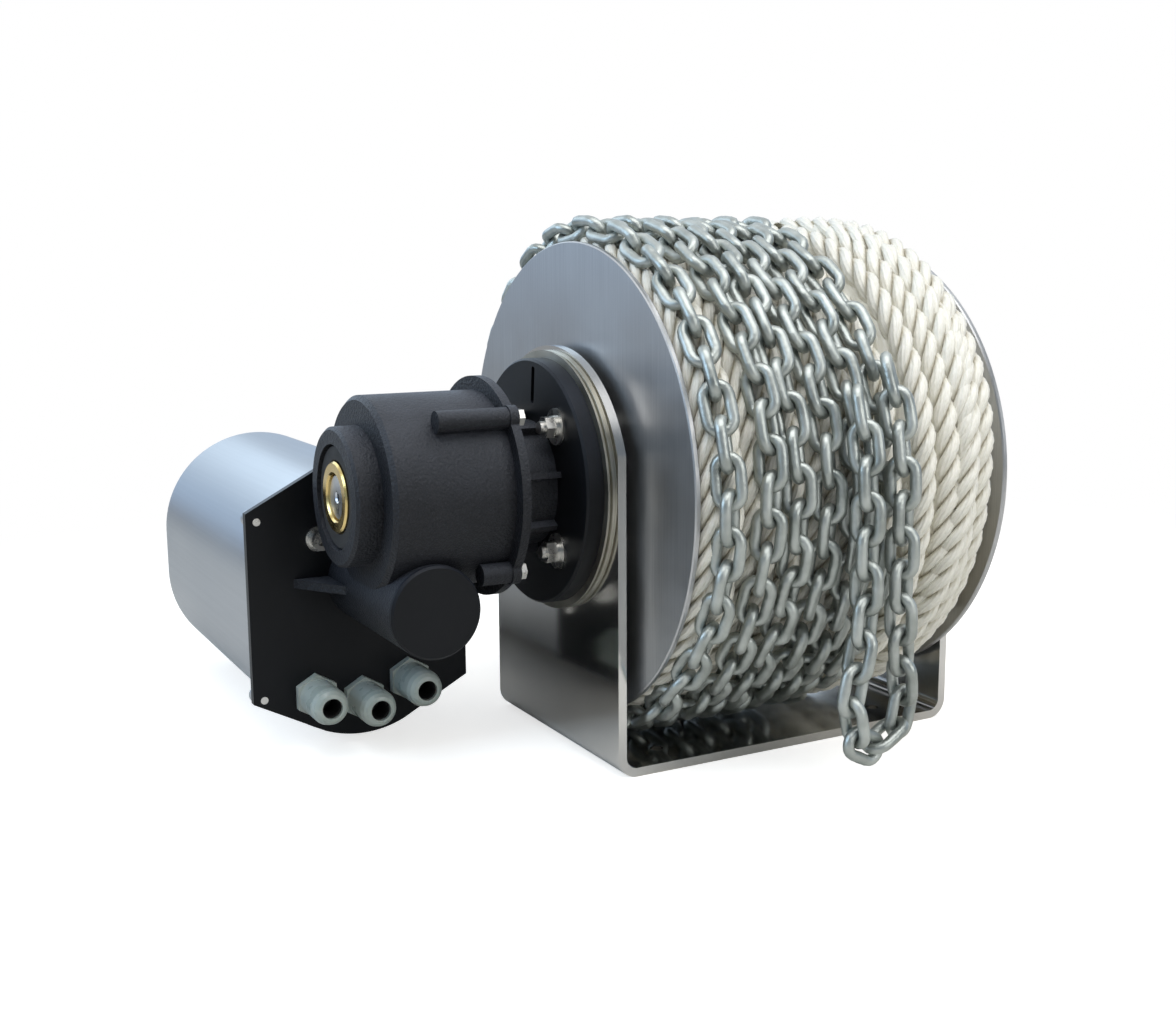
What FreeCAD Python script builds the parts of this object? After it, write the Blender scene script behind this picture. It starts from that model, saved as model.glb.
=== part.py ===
"""Horizontal electric drum winch for anchor rope and chain, as separate sub-parts.

A bent stainless U frame carries a flanged drum on one through shaft.  A worm
gearbox is bolted to the left side plate and turns the drum; its motor stands
behind a black plate, under a deep aluminium cover, with three cable glands.
The drum is full of rope with turns of short-link chain over it, and one slack
bight of chain hangs at the front.

Units are millimetres.  X runs along the drum axis with the motor at -X, the
bight hangs at -Y, Z is up, and the origin is the middle of the frame's underside.
"""
import FreeCAD
import Part
import math
import os

V = FreeCAD.Vector

# ---- driving dimensions ------------------------------------------------------
# bent frame
frame_length = 276.0        # outside to outside, along the drum
frame_width = 183.0
sheet = 6.0                 # frame plate thickness
bend_radius = 14.0          # outside of the bends
axis_height = 186.0         # drum axis over the underside
arch_radius = 97.0          # rounded top of each side plate
arch_drop = 6.0             # arch centre below the drum axis
base_hole_x = 186.0         # spacing of the four deck bolt holes
base_hole_y = 128.0
base_hole_radius = 4.5

# drum
drum_gap = 8.0              # from each side plate to the flange beside it
flange_radius = 160.0
flange_thickness = 4.0
core_radius = 60.0
core_wall = 5.0
hub_radius = 32.0
hub_length = 20.0
shaft_radius = 15.0
shaft_fit = 0.05            # radial clearance of everything on or in a bore
soft_gap = 0.3              # clearance of rope from steel

# rope and chain
rope_diameter = 16.0
rope_low_radius = 162.0     # rope surface under the chain
rope_high_radius = 172.0    # rope surface where no chain lies on it
rope_turns_bare = 5         # turns of bare rope at the right-hand end
chain_wire = 6.0
chain_pitch = 22.0          # inside length of a link
chain_width = 20.0          # outside width of a link
chain_play = 0.4            # slack between two links in line
turn_flats = 48             # links in one turn of chain
turn_half = 7.9             # half height of chain lying with its links at 45 degrees
turn_places = [-107.0, -76.0, -54.0, -32.0, -9.0, 14.0]   # X of each chain turn
bight_lift = 25.0           # angle over the horizontal where the bight leaves the drum

# left side: ring, adapter disc and neck
ring_radius = 88.0
ring_thickness = 5.0
ring_groove = 2.0
ring_bore = 40.0
disc_radius = 83.0
disc_thickness = 12.0
slot_length = 25.0
slot_width = 4.5
slot_middle = 66.0          # slot centre from the axis
slot_turn = 5.5             # degrees from the top
side_bore = 24.0            # hole for the shaft in each side plate
stud_circle = 58.0          # radius
stud_radius = 4.0
stud_clearance = 0.3
nut_flats = 13.0
nut_height = 6.5
head_height = 5.3
washer_radius = 12.0
washer_thickness = 1.6
spring_washer_radius = 7.2
spring_washer_thickness = 2.0
stud_end = 3.0              # stud beyond its nut
bearing_radius = 27.5
bearing_width = 12.0
shield_depth = 1.0
shield_lap = 0.5
neck_length = 34.0
neck_radius = 42.0
neck_collar_radius = 50.0
neck_collar_length = 10.0
neck_bore = 24.0
neck_ribs = 8
rib_thickness = 4.0

# gearbox
lid_thickness = 6.0
lid_radius = 73.0
lid_ear_circle = 70.0
lid_ear_radius = 8.0
lid_gap = 0.5               # flat on the lid's edge to the motor plate
body_radius = 64.0
body_length = 81.0
wheel_room = 58.6           # radius of the wheel's space
boss_radius = 45.0
boss_length = 17.0
boss_recess_radius = 34.0
boss_recess_depth = 7.0
gear_bearing_width = 15.0
gear_bearing_radius = 34.0
seal_radius = 26.0
seal_width = 8.0
gear_bolt_radius = 3.0
gear_bolt_flats = 10.0
gear_bolt_head = 5.0
boss_rib_radius = 7.0
boss_rib_length = 48.0
low_rib_length = 20.0
gear_bolt_depth = 16.0

# worm drive
wheel_teeth = 44
worm_starts = 2
gear_module = 2.5
worm_pitch_radius = 13.5
wheel_width = 24.0
hub_sleeve_radius = 20.0
tooth_share = 0.44          # tooth thickness as a share of the pitch
tooth_slope = math.radians(20.0)
tip_clearance = 0.6
worm_length = 52.0
worm_shaft_radius = 8.0
worm_bearing_width = 12.0
worm_tube_radius = 30.0
worm_bore = 17.6
worm_reach = 54.0           # worm tube end in front of the drum axis
worm_cap_thickness = 4.0
worm_cap_spigot = 2.0        # cap's lip inside the tube
rear_bearing_inset = 10.0    # rear worm bearing in front of the motor plate
brass_flats = 46.0          # eight-sided brass ring
brass_thickness = 4.0
key_width = 8.0
key_height = 7.0
key_length = 60.0

# motor and its cover
plate_face = 65.0           # plate's front face behind the drum axis
plate_thickness = 6.0
plate_middle_x = -255.0
plate_half_width = 78.0
plate_low_corner = 38.0
plate_high_corner = 169.0
plate_shoulder = 29.0       # half width of the rounded top and bottom
plate_rise = 26.0           # height of the slanted corners
plate_top_crown = 8.0       # height of the rounded top
plate_bottom_crown = 6.0
cover_half_width = 77.0
cover_top = 194.0
cover_bottom = 5.5
cover_depth = 256.0
cover_wall = 2.5
cover_edge = 4.0
lug_radius = 6.0
lug_length = 12.0
plate_screw_inset = 7.5
plate_screw_radius = 1.5
plate_screw_head = 2.6
motor_bolt_circle = 47.5
motor_bolt_radius = 4.0
motor_bolt_head = 6.5
can_radius = 51.0
can_length = 165.0
can_wall = 4.0
magnet_thickness = 7.0
magnet_angle = 66.0
armature_radius = 38.0
armature_length = 95.0
armature_slots = 12
commutator_radius = 17.0
commutator_length = 22.0
end_bell = 12.0
motor_bearing_radius = 16.0
motor_bearing_width = 9.0

# cable glands, each (x, z) on the plate
gland_places = [(-290.0, 39.0), (-256.0, 32.5), (-222.0, 41.5)]
gland_flats = 27.0
gland_hex_length = 6.0
gland_neck_radius = 11.0
gland_neck_length = 8.0
gland_dome_radius = 12.8
gland_dome_length = 24.0
gland_hole_radius = 7.0
gland_thread_radius = 9.5
gland_nut_thickness = 5.0

# right side
housing_radius = 50.0
housing_length = 15.0
housing_bolt_circle = 41.0

# ---- places worked out from them ---------------------------------------------
half_length = frame_length / 2
plate_in = half_length - sheet
flange_out = plate_in - drum_gap
flange_in = flange_out - flange_thickness
half_width = frame_width / 2

ring_face = -half_length - ring_thickness
disc_face = ring_face - disc_thickness
neck_end = disc_face - neck_length
lid_face = neck_end - lid_thickness
body_face = lid_face - body_length
boss_face = body_face - boss_length
recess_floor = boss_face + boss_recess_depth
bearing_back = body_face + gear_bearing_width
shaft_end = recess_floor + 1.5
housing_face = half_length + housing_length
shaft_right = half_length + bearing_width - 1.0

wheel_pitch_radius = gear_module * wheel_teeth / 2
centre_distance = wheel_pitch_radius + worm_pitch_radius
worm_x = body_face + gear_bearing_width + 1.0 + wheel_width / 2
worm_z = axis_height - centre_distance
tooth_pitch = math.pi * gear_module
worm_lead = tooth_pitch * worm_starts
lead_angle = math.atan(worm_lead / (2 * math.pi * worm_pitch_radius))

spigot_end = -worm_reach + worm_cap_spigot
plate_back = plate_face + plate_thickness
plate_middle_z = (plate_low_corner + plate_high_corner) / 2
link_step = chain_pitch - chain_play
turn_radius = rope_low_radius + turn_half + soft_gap
bight_radius = turn_radius / math.cos(math.pi / turn_flats) + 2 * turn_half + 0.6

os.makedirs("parts", exist_ok=True)


# ---- helpers -----------------------------------------------------------------
def save(name, shape):
    """Writes one node."""
    shape.exportStep("parts/" + name + ".step")


def along_x(x0, x1, radius, y=0.0, z=axis_height):
    """Solid cylinder along X."""
    return Part.makeCylinder(radius, x1 - x0, V(x0, y, z), V(1, 0, 0))


def along_y(y0, y1, radius, x, z):
    """Solid cylinder along Y."""
    return Part.makeCylinder(radius, y1 - y0, V(x, y0, z), V(0, 1, 0))


def tube_x(x0, x1, outer, inner, y=0.0, z=axis_height):
    """Tube along X."""
    return along_x(x0, x1, outer, y, z).cut(along_x(x0, x1, inner, y, z))


def tube_y(y0, y1, outer, inner, x, z):
    """Tube along Y."""
    return along_y(y0, y1, outer, x, z).cut(along_y(y0, y1, inner, x, z))


def turned_x(profile):
    """Body of revolution about the drum axis from (x, radius) points."""
    points = [V(x, 0, axis_height + r) for x, r in profile]
    face = Part.Face(Part.makePolygon(points + points[:1]))
    return face.revolve(V(0, 0, axis_height), V(1, 0, 0), 360)


def turned_y(profile, x, z):
    """Body of revolution about a line along Y from (y, radius) points."""
    points = [V(x + r, y, z) for y, r in profile]
    face = Part.Face(Part.makePolygon(points + points[:1]))
    return face.revolve(V(x, 0, z), V(0, 1, 0), 360)


def polygon_prism(sides, flats, start, direction, length, turn=0.0):
    """Regular prism, such as a nut, given by its width across flats."""
    corner = flats / 2 / math.cos(math.pi / sides)
    angles = [math.radians(turn) + 2 * math.pi * (i + 0.5) / sides for i in range(sides)]
    points = [V(corner * math.cos(a), corner * math.sin(a), 0) for a in angles]
    prism = Part.Face(Part.makePolygon(points + points[:1])).extrude(V(0, 0, length))
    prism.Placement = FreeCAD.Placement(start, FreeCAD.Rotation(V(0, 0, 1), direction))
    return prism


def circle_places(radius, angles):
    """(y, z) of points on a circle round the drum axis."""
    return [(radius * math.cos(math.radians(a)), axis_height + radius * math.sin(math.radians(a)))
            for a in angles]


stud_places = circle_places(stud_circle, [45, 135, 225, 315])
housing_places = circle_places(housing_bolt_circle, [45, 135, 225, 315])
ear_places = circle_places(lid_ear_circle, [45, 135, 225, 315])
motor_bolt_places = [(worm_x + motor_bolt_circle * math.cos(math.radians(a)),
                      worm_z + motor_bolt_circle * math.sin(math.radians(a))) for a in (140, 320)]


# ---- frame -------------------------------------------------------------------
def u_section():
    """The bent strip seen from the front, up to the top of the arch."""
    top = axis_height - arch_drop + arch_radius + 1.0
    outer = Part.makeBox(frame_length, frame_width, top + bend_radius, V(-half_length, -half_width, 0))
    outer = outer.makeFillet(bend_radius, [e for e in outer.Edges if is_bend(e, half_length, 0.0)])
    inner = Part.makeBox(2 * plate_in, frame_width + 2, top + 2 * bend_radius,
                         V(-plate_in, -half_width - 1, sheet))
    inner = inner.makeFillet(bend_radius - sheet, [e for e in inner.Edges if is_bend(e, plate_in, sheet)])
    return outer.cut(inner)


def is_bend(edge, x, z):
    """True for the two lower edges that run along Y at +-x."""
    middle = edge.BoundBox.Center
    return abs(abs(middle.x) - x) < 0.01 and abs(middle.z - z) < 0.01


def side_outline():
    """Block with the side view's outline: straight sides under a round arch."""
    rise = math.sqrt(arch_radius ** 2 - half_width ** 2)
    centre = axis_height - arch_drop
    shoulder = centre + rise
    corners = [V(-half_length - 1, -half_width, -1), V(-half_length - 1, half_width, -1),
               V(-half_length - 1, half_width, shoulder), V(-half_length - 1, -half_width, shoulder)]
    sides = Part.makePolygon([corners[3], corners[0], corners[1], corners[2]])
    arch = Part.Arc(corners[2], V(-half_length - 1, 0, centre + arch_radius), corners[3])
    face = Part.Face(Part.Wire(sides.Edges + [arch.toShape()]))
    return face.extrude(V(frame_length + 2, 0, 0))


def make_frame():
    frame = u_section().common(side_outline())
    holes = [along_x(-half_length - 1, half_length + 1, side_bore)]
    holes += [along_x(-half_length - 1, -plate_in + 1, stud_radius + stud_clearance, y, z)
              for y, z in stud_places]
    holes += [along_x(plate_in - 1, half_length + 1, stud_radius + stud_clearance, y, z)
              for y, z in housing_places]
    for x in (-base_hole_x / 2, base_hole_x / 2):
        for y in (-base_hole_y / 2, base_hole_y / 2):
            holes.append(Part.makeCylinder(base_hole_radius, sheet + 2, V(x, y, -1)))
    return frame.cut(holes)



# ---- left side: ring, disc, neck and their studs ------------------------------
def make_ring():
    mid = ring_face + ring_thickness / 2
    ring = turned_x([(-half_length, ring_bore), (-half_length, ring_radius),
                     (mid + 1.0, ring_radius), (mid, ring_radius - ring_groove),
                     (mid - 1.0, ring_radius), (ring_face, ring_radius), (ring_face, ring_bore)])
    return ring.cut(stud_holes(ring_face, -half_length))


def stud_holes(x0, x1):
    return [along_x(x0 - 1, x1 + 1, stud_radius + stud_clearance, y, z) for y, z in stud_places]


def make_disc():
    disc = turned_x([(ring_face, bearing_radius + shaft_fit), (ring_face, disc_radius),
                     (disc_face + 1.5, disc_radius), (disc_face, disc_radius - 1.5),
                     (disc_face, bearing_radius + shaft_fit)])
    slot = Part.makeBox(disc_thickness, slot_width, slot_length - slot_width,
                        V(disc_face - 1, -slot_width / 2, axis_height + slot_middle
                          - (slot_length - slot_width) / 2))
    for end in (-1, 1):
        z = axis_height + slot_middle + end * (slot_length - slot_width) / 2
        slot = slot.fuse(along_x(disc_face - 1, disc_face - 1 + disc_thickness, slot_width / 2, 0, z))
    slot.rotate(V(0, 0, axis_height), V(1, 0, 0), slot_turn)
    return disc.cut(stud_holes(disc_face, ring_face) + [slot])


def make_neck():
    collar_end = neck_end + neck_collar_length
    neck = turned_x([(neck_end, neck_bore), (neck_end, neck_collar_radius),
                     (collar_end, neck_collar_radius - 2), (collar_end, neck_radius),
                     (disc_face, neck_radius), (disc_face, neck_bore)])
    for i in range(neck_ribs):
        rib = Part.makeBox(neck_length - neck_collar_length, rib_thickness,
                           neck_collar_radius - neck_radius + 2,
                           V(collar_end, -rib_thickness / 2, axis_height + neck_radius - 4))
        rib.rotate(V(0, 0, axis_height), V(1, 0, 0), 360.0 * (i + 0.5) / neck_ribs + 10)
        neck = neck.fuse(rib)
    return neck.removeSplitter()


washer_face = disc_face - washer_thickness
spring_face = washer_face - spring_washer_thickness
nut_face = spring_face - nut_height


def make_studs():
    """Bolts from inside the side plate, heads towards the flange."""
    bolts = []
    for y, z in stud_places:
        shank = along_x(nut_face - stud_end, -plate_in, stud_radius, y, z)
        head = polygon_prism(6, nut_flats, V(-plate_in, y, z), V(1, 0, 0), head_height)
        bolts.append(shank.fuse(head))
    return Part.makeCompound(bolts)


def stud_rings(x0, x1, outer):
    return Part.makeCompound([tube_x(x0, x1, outer, stud_radius + shaft_fit, y, z)
                              for y, z in stud_places])


def make_nuts():
    nuts = []
    for y, z in stud_places:
        nut = polygon_prism(6, nut_flats, V(nut_face, y, z), V(1, 0, 0), nut_height)
        nuts.append(nut.cut(along_x(nut_face - 1, spring_face + 1, stud_radius + shaft_fit, y, z)))
    return Part.makeCompound(nuts)


# ---- gearbox -----------------------------------------------------------------
def make_lid():
    """Flange that closes the gearbox, with four screw ears and a bearing seat."""
    lid = along_x(lid_face, neck_end, lid_radius)
    for y, z in ear_places:
        lid = lid.fuse(along_x(lid_face, neck_end, lid_ear_radius, y, z))
    lip_end = lid_face - 4
    seat_end = lid_face - gear_bearing_width
    lid = lid.fuse(along_x(lip_end, lid_face, wheel_room - shaft_fit))
    lid = lid.fuse(along_x(seat_end, lid_face, gear_bearing_radius + 5))
    holes = [along_x(seat_end - 1, lid_face, gear_bearing_radius + shaft_fit),
             along_x(lid_face - 1, neck_end + 1, hub_sleeve_radius + 2)]
    holes += [along_x(lid_face - 1, neck_end + 1, gear_bolt_radius + shaft_fit, y, z)
              for y, z in ear_places]
    flat = Part.makeBox(4 * lid_thickness, 2 * lid_radius, 4 * lid_radius,
                        V(seat_end - 1, plate_face - lid_gap, axis_height - 2 * lid_radius))
    return lid.cut(holes + [flat]).removeSplitter()


def make_gearbox():
    """Cast housing: wheel case, front boss, worm tube across it, screw ribs and webs."""
    case = turned_x([(lid_face, 0), (lid_face, body_radius), (body_face + 3, body_radius),
                     (body_face, body_radius - 3), (body_face, boss_radius),
                     (boss_face + 2, boss_radius), (boss_face, boss_radius - 2), (boss_face, 0)])
    for y, z in ear_places:
        case = case.fuse(along_x(lid_face - rib_length(z), lid_face, boss_rib_radius, y, z))
    case = case.fuse(along_y(-worm_reach, plate_face, worm_tube_radius, worm_x, worm_z))
    case = case.fuse(worm_webs())
    return case.cut(gearbox_spaces()).removeSplitter()


def rib_length(z):
    """Length of a screw rib: the lower two stop short of the worm tube."""
    return boss_rib_length if z > axis_height else low_rib_length


def worm_webs():
    """Stiffening webs: one under the case, two from the worm tube to the motor plate."""
    under = Part.makeBox(6, worm_reach - 10, 60, V(worm_x - 3, -worm_reach + 4, worm_z))
    under = under.common(along_x(worm_x - 4, worm_x + 4, body_radius + 4))
    reach = worm_tube_radius + 24
    fin = Part.makePolygon([V(worm_x - reach, plate_face, worm_z + 4), V(worm_x, plate_face, worm_z + 4),
                            V(worm_x, plate_face - 40, worm_z + 4),
                            V(worm_x - worm_tube_radius + 2, plate_face - 40, worm_z + 4),
                            V(worm_x - reach, plate_face, worm_z + 4)])
    left = Part.Face(fin).extrude(V(0, 0, -6))
    right = left.mirror(V(worm_x, 0, 0), V(1, 0, 0))
    return [under, left, right]


def gearbox_spaces():
    """Everything that is hollow in the housing."""
    worm_front = -worm_reach - 1
    spaces = [along_x(bearing_back, lid_face + 1, wheel_room),
              along_x(body_face, bearing_back + 1, gear_bearing_radius + shaft_fit),
              along_x(recess_floor - 1, body_face + 1, seal_radius + shaft_fit),
              along_x(boss_face - 1, recess_floor, boss_recess_radius),
              along_y(worm_front, plate_face + 1, worm_bore, worm_x, worm_z)]
    spaces += [along_x(lid_face - gear_bolt_depth - 1, lid_face + 1, gear_bolt_radius + shaft_fit, y, z)
               for y, z in ear_places]
    return spaces


def make_gear_bolts():
    """Hex screws through the lid's ears into the ribs of the housing."""
    bolts = []
    for y, z in ear_places:
        shank = along_x(lid_face - gear_bolt_depth, neck_end, gear_bolt_radius, y, z)
        head = polygon_prism(6, gear_bolt_flats, V(neck_end, y, z), V(1, 0, 0), gear_bolt_head)
        bolts.append(shank.fuse(head))
    return Part.makeCompound(bolts)


def make_worm_cap():
    front = -worm_reach - worm_cap_thickness
    return turned_y([(front, 0), (front, worm_tube_radius - 1.5), (front + 1.5, worm_tube_radius),
                     (-worm_reach, worm_tube_radius), (-worm_reach, worm_bore - shaft_fit),
                     (spigot_end, worm_bore - shaft_fit), (spigot_end, 0)], worm_x, worm_z)


# ---- worm and wheel ----------------------------------------------------------
def rack_half_widths(height_out, height_in):
    """Half tooth thickness at the tip and at the root of a straight-sided tooth."""
    pitch_half = tooth_pitch * tooth_share / 2
    return (pitch_half - height_out * math.tan(tooth_slope),
            pitch_half + height_in * math.tan(tooth_slope))


def wheel_outline(turn):
    """Closed outline of all wheel teeth, turned about the axis."""
    tip = wheel_pitch_radius + gear_module
    root = wheel_pitch_radius - gear_module - tip_clearance
    tip_half, root_half = rack_half_widths(gear_module, gear_module)
    points = []
    for i in range(wheel_teeth):
        middle = 2 * math.pi * i / wheel_teeth - math.pi / 2 + turn
        for radius, half in ((root, -root_half), (tip, -tip_half), (tip, tip_half), (root, root_half)):
            angle = middle + half / wheel_pitch_radius
            points.append((radius * math.cos(angle), radius * math.sin(angle)))
    return points


def ring_at(points, x):
    """The same outline as points in a plane square to the drum axis."""
    return [V(x, y, axis_height + z) for y, z in points]


def make_wheel():
    """Bronze worm wheel: teeth set at the worm's lead angle, web and hub sleeve."""
    half = wheel_width / 2
    twist = half * math.tan(lead_angle) / wheel_pitch_radius
    teeth = skin([ring_at(wheel_outline(twist), worm_x - half),
                  ring_at(wheel_outline(-twist), worm_x + half)])
    web = tube_x(worm_x - half - 1, worm_x + half + 1, wheel_pitch_radius - 12, hub_sleeve_radius + 12)
    thin = tube_x(worm_x - 5, worm_x + 5, wheel_pitch_radius - 8, hub_sleeve_radius)
    teeth = teeth.cut(web).fuse(thin)
    sleeve = along_x(recess_floor + 0.3, neck_end, hub_sleeve_radius)
    bore = along_x(boss_face, disc_face, shaft_radius + shaft_fit)
    return teeth.fuse(sleeve).cut([bore, key_block(shaft_fit)]).removeSplitter()


def key_block(extra):
    """Key, or with a little extra its keyway."""
    height = key_height + 2 * extra
    width = key_width + 2 * extra
    return Part.makeBox(key_length + 2 * extra, width, height,
                        V(worm_x - key_length / 2 - extra, -width / 2,
                          axis_height + shaft_radius - height / 2 - 0.5))


def worm_thread(start):
    """One thread of the worm as a faceted helical ridge."""
    steps = 14
    reach = tooth_pitch * math.ceil(worm_length / 2 / tooth_pitch + 1)
    count = int(steps * 2 * reach / worm_lead) + steps
    tip = worm_pitch_radius + gear_module - 0.1
    root = worm_pitch_radius - gear_module - 1.0
    tip_half, root_half = rack_half_widths(gear_module, gear_module + 1.0)
    section = ((root, -root_half), (tip, -tip_half), (tip, tip_half), (root, root_half))
    rings = []
    for i in range(count + 1):
        angle = 2 * math.pi * (i / steps) + 2 * math.pi * start / worm_starts
        middle = worm_lead * (i / steps - 0.25) + tooth_pitch / 2 - reach
        rings.append([V(worm_x + r * math.cos(angle), middle + offset, worm_z + r * math.sin(angle))
                      for r, offset in section])
    return skin(rings)


def skin(rings):
    """Solid with flat facets through equal rings of points."""
    facets = [Part.Face(Part.makePolygon(rings[0] + rings[0][:1])),
              Part.Face(Part.makePolygon(rings[-1] + rings[-1][:1]))]
    size = len(rings[0])
    for a, b in zip(rings, rings[1:]):
        for j in range(size):
            k = (j + 1) % size
            facets.append(Part.Face(Part.makePolygon([a[j], a[k], b[k], a[j]])))
            facets.append(Part.Face(Part.makePolygon([a[j], b[k], b[j], a[j]])))
    solid = Part.Solid(Part.Shell(facets))
    if solid.Volume < 0:
        solid.reverse()
    return solid


def make_worm():
    """Worm with its shaft, which is also the motor's shaft."""
    core_r = worm_pitch_radius - gear_module - 0.4
    front = spigot_end + 1
    back = plate_back + can_length - 4
    worm = along_y(front, back, worm_shaft_radius, worm_x, worm_z)
    worm = worm.fuse(along_y(-worm_length / 2 - 5, worm_length / 2 + 5, core_r, worm_x, worm_z))
    limit = along_y(-worm_length / 2, worm_length / 2, worm_bore, worm_x, worm_z)
    for start in range(worm_starts):
        worm = worm.fuse(worm_thread(start).common(limit))
    return worm


def make_brass_ring():
    """Eight-sided brass ring on the wheel's hub, with a slot at the top and bottom of its bore."""
    face = recess_floor - soft_gap
    ring = polygon_prism(8, brass_flats, V(face - brass_thickness, 0, axis_height), V(1, 0, 0),
                         brass_thickness)
    ring = ring.fuse(along_x(face, recess_floor + soft_gap, hub_sleeve_radius - 2))
    slot = Part.makeBox(brass_thickness + 2, key_width, 2 * (shaft_radius + 3.5),
                        V(face - brass_thickness - 1, -key_width / 2, axis_height - shaft_radius - 3.5))
    bore = along_x(boss_face, body_face, shaft_radius + 0.5)
    return ring.cut([bore, slot])


def bearing_profile(start, width, outer, inner):
    """Half section of a sealed ball bearing: two races with a shield sunk between them."""
    race = (outer - inner) / 5
    end = start + width
    sunk_in, sunk_out = inner + race + shield_lap, outer - race - shield_lap
    return [(start, inner), (start, inner + race), (start + shield_depth, sunk_in),
            (start + shield_depth, sunk_out), (start, outer - race), (start, outer),
            (end, outer), (end, outer - race), (end - shield_depth, sunk_out),
            (end - shield_depth, sunk_in), (end, inner + race), (end, inner)]


def drum_bearing(x0, width, outer, inner):
    """Bearing on the drum's axis."""
    return turned_x(bearing_profile(x0, width, outer, inner))


def worm_bearing(y0, width, outer):
    """Bearing on the worm's shaft."""
    return turned_y(bearing_profile(y0, width, outer, worm_shaft_radius + shaft_fit), worm_x, worm_z)


def make_seal():
    """Lip seal between the front boss and the hub sleeve."""
    return turned_x([(recess_floor, hub_sleeve_radius + shaft_fit), (recess_floor, seal_radius),
                     (recess_floor + seal_width, seal_radius),
                     (recess_floor + seal_width, seal_radius - 2),
                     (recess_floor + 2, seal_radius - 2.5),
                     (recess_floor + seal_width - 1, hub_sleeve_radius + shaft_fit)])


# ---- drum --------------------------------------------------------------------
def make_shaft():
    shaft = turned_x([(shaft_end, 0), (shaft_end, shaft_radius - 1), (shaft_end + 1, shaft_radius),
                      (shaft_right - 1, shaft_radius), (shaft_right, shaft_radius - 1), (shaft_right, 0)])
    return shaft.cut(key_block(shaft_fit))


def make_flange(side):
    """One drum flange; side is -1 at the motor and 1 at the far end."""
    edge = 0.8
    return turned_x([(side * flange_in, shaft_radius + shaft_fit), (side * flange_in, flange_radius - edge),
                     (side * (flange_in + edge), flange_radius), (side * (flange_out - edge), flange_radius),
                     (side * flange_out, flange_radius - edge), (side * flange_out, shaft_radius + shaft_fit)])


def make_hubs():
    """Turned hubs welded inside the flanges."""
    hubs = []
    for side in (-1, 1):
        hubs.append(turned_x([(side * flange_in, shaft_radius + shaft_fit), (side * flange_in, hub_radius),
                              (side * (flange_in - hub_length + 4), hub_radius),
                              (side * (flange_in - hub_length), hub_radius - 4),
                              (side * (flange_in - hub_length), shaft_radius + shaft_fit)]))
    return Part.makeCompound(hubs)


def make_rope():
    """Wound rope as one body: low under the chain, bare turns standing up at the right."""
    left = -flange_in + soft_gap
    right = flange_in - soft_gap
    bare = right - rope_turns_bare * rope_diameter
    groove = rope_high_radius - rope_diameter / 3
    profile = [(left, core_radius + soft_gap), (left, rope_low_radius), (bare - 4, rope_low_radius)]
    for i in range(rope_turns_bare):
        start = bare + i * rope_diameter
        profile += [(start, groove), (start + rope_diameter * 0.3, rope_high_radius),
                    (start + rope_diameter * 0.7, rope_high_radius)]
    profile += [(right, groove), (right, core_radius + soft_gap)]
    return turned_x(profile)


def closed_skin(rings):
    """Solid with flat facets through a closed loop of equal rings of points."""
    size = len(rings[0])
    facets = []
    for a, b in zip(rings, rings[1:] + rings[:1]):
        for j in range(size):
            k = (j + 1) % size
            facets.append(Part.Face(Part.makePolygon([a[j], a[k], b[k], b[j], a[j]])))
    solid = Part.Solid(Part.Shell(facets))
    if solid.Volume < 0:
        solid.reverse()
    return solid


def make_chain_turn(x):
    """One wound turn of chain: a ring with one flat for each link."""
    radius = turn_radius / math.cos(math.pi / turn_flats)
    rings = []
    for i in range(turn_flats):
        angle = 2 * math.pi * i / turn_flats
        out = V(0, math.cos(angle), math.sin(angle))
        rings.append([V(x + dx, 0, axis_height) + out * (radius + dr)
                      for dx, dr in ((-turn_half, -turn_half), (turn_half, -turn_half),
                                     (turn_half, turn_half), (-turn_half, turn_half))])
    return closed_skin(rings)


# ---- slack bight of chain ----------------------------------------------------
bight_left_x = -15.0
bight_right_x = 12.0
bight_bottom = [(12.0, -188.0, 62.0), (9.0, -190.0, 41.0), (2.0, -192.0, 21.0), (-15.0, -190.0, 17.0),
                (-30.0, -187.0, 30.0), (-29.0, -186.0, 51.0), (-20.0, -187.0, 70.0)]


def bight_path():
    """Points that the bight follows, from the top of its right run to the top of its left run."""
    arc = [math.radians(bight_lift * i / 4) for i in range(5)]
    down = [V(bight_right_x, -bight_radius * math.cos(a), axis_height + bight_radius * math.sin(a))
            for a in reversed(arc)]
    up = [V(bight_left_x, p.y, p.z) for p in reversed(down)]
    return down + [V(*p) for p in bight_bottom] + up


def walk(path, step):
    """Points on a path whose straight distances are all one step."""
    found = [path[0]]
    index = 0
    start = path[0]
    while index < len(path) - 1:
        if (path[index + 1] - found[-1]).Length < step:
            index += 1
            start = path[index]
            continue
        low, high = 0.0, 1.0
        for _ in range(40):
            middle = (low + high) / 2
            if (start + (path[index + 1] - start) * middle - found[-1]).Length < step:
                low = middle
            else:
                high = middle
        found.append(start + (path[index + 1] - start) * low)
        start = found[-1]
    return found


def make_link(a, b, turned):
    """Chain link that joins two neighbouring points of the chain, turned about its length."""
    along = (b - a).normalize()
    side = along.cross(V(0, -1, 0.001)).normalize()
    other = along.cross(side)
    across = side * math.cos(turned) + other * math.sin(turned)
    normal = along.cross(across)
    middle = (a + b) / 2
    wire = chain_wire / 2
    bend = chain_width / 2 - wire
    straight = (chain_pitch + chain_wire) / 2 - bend
    rings = []
    for end in (1, -1):
        for i in range(5):
            angle = math.radians(-90 + 45 * i + (0 if end > 0 else 180))
            out = along * math.cos(angle) + across * math.sin(angle)
            centre = middle + along * (end * straight) + out * bend
            rings.append([centre + out * (wire * math.cos(math.radians(60 * j)))
                          + normal * (wire * math.sin(math.radians(60 * j))) for j in range(6)])
    return closed_skin(rings)


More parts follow.
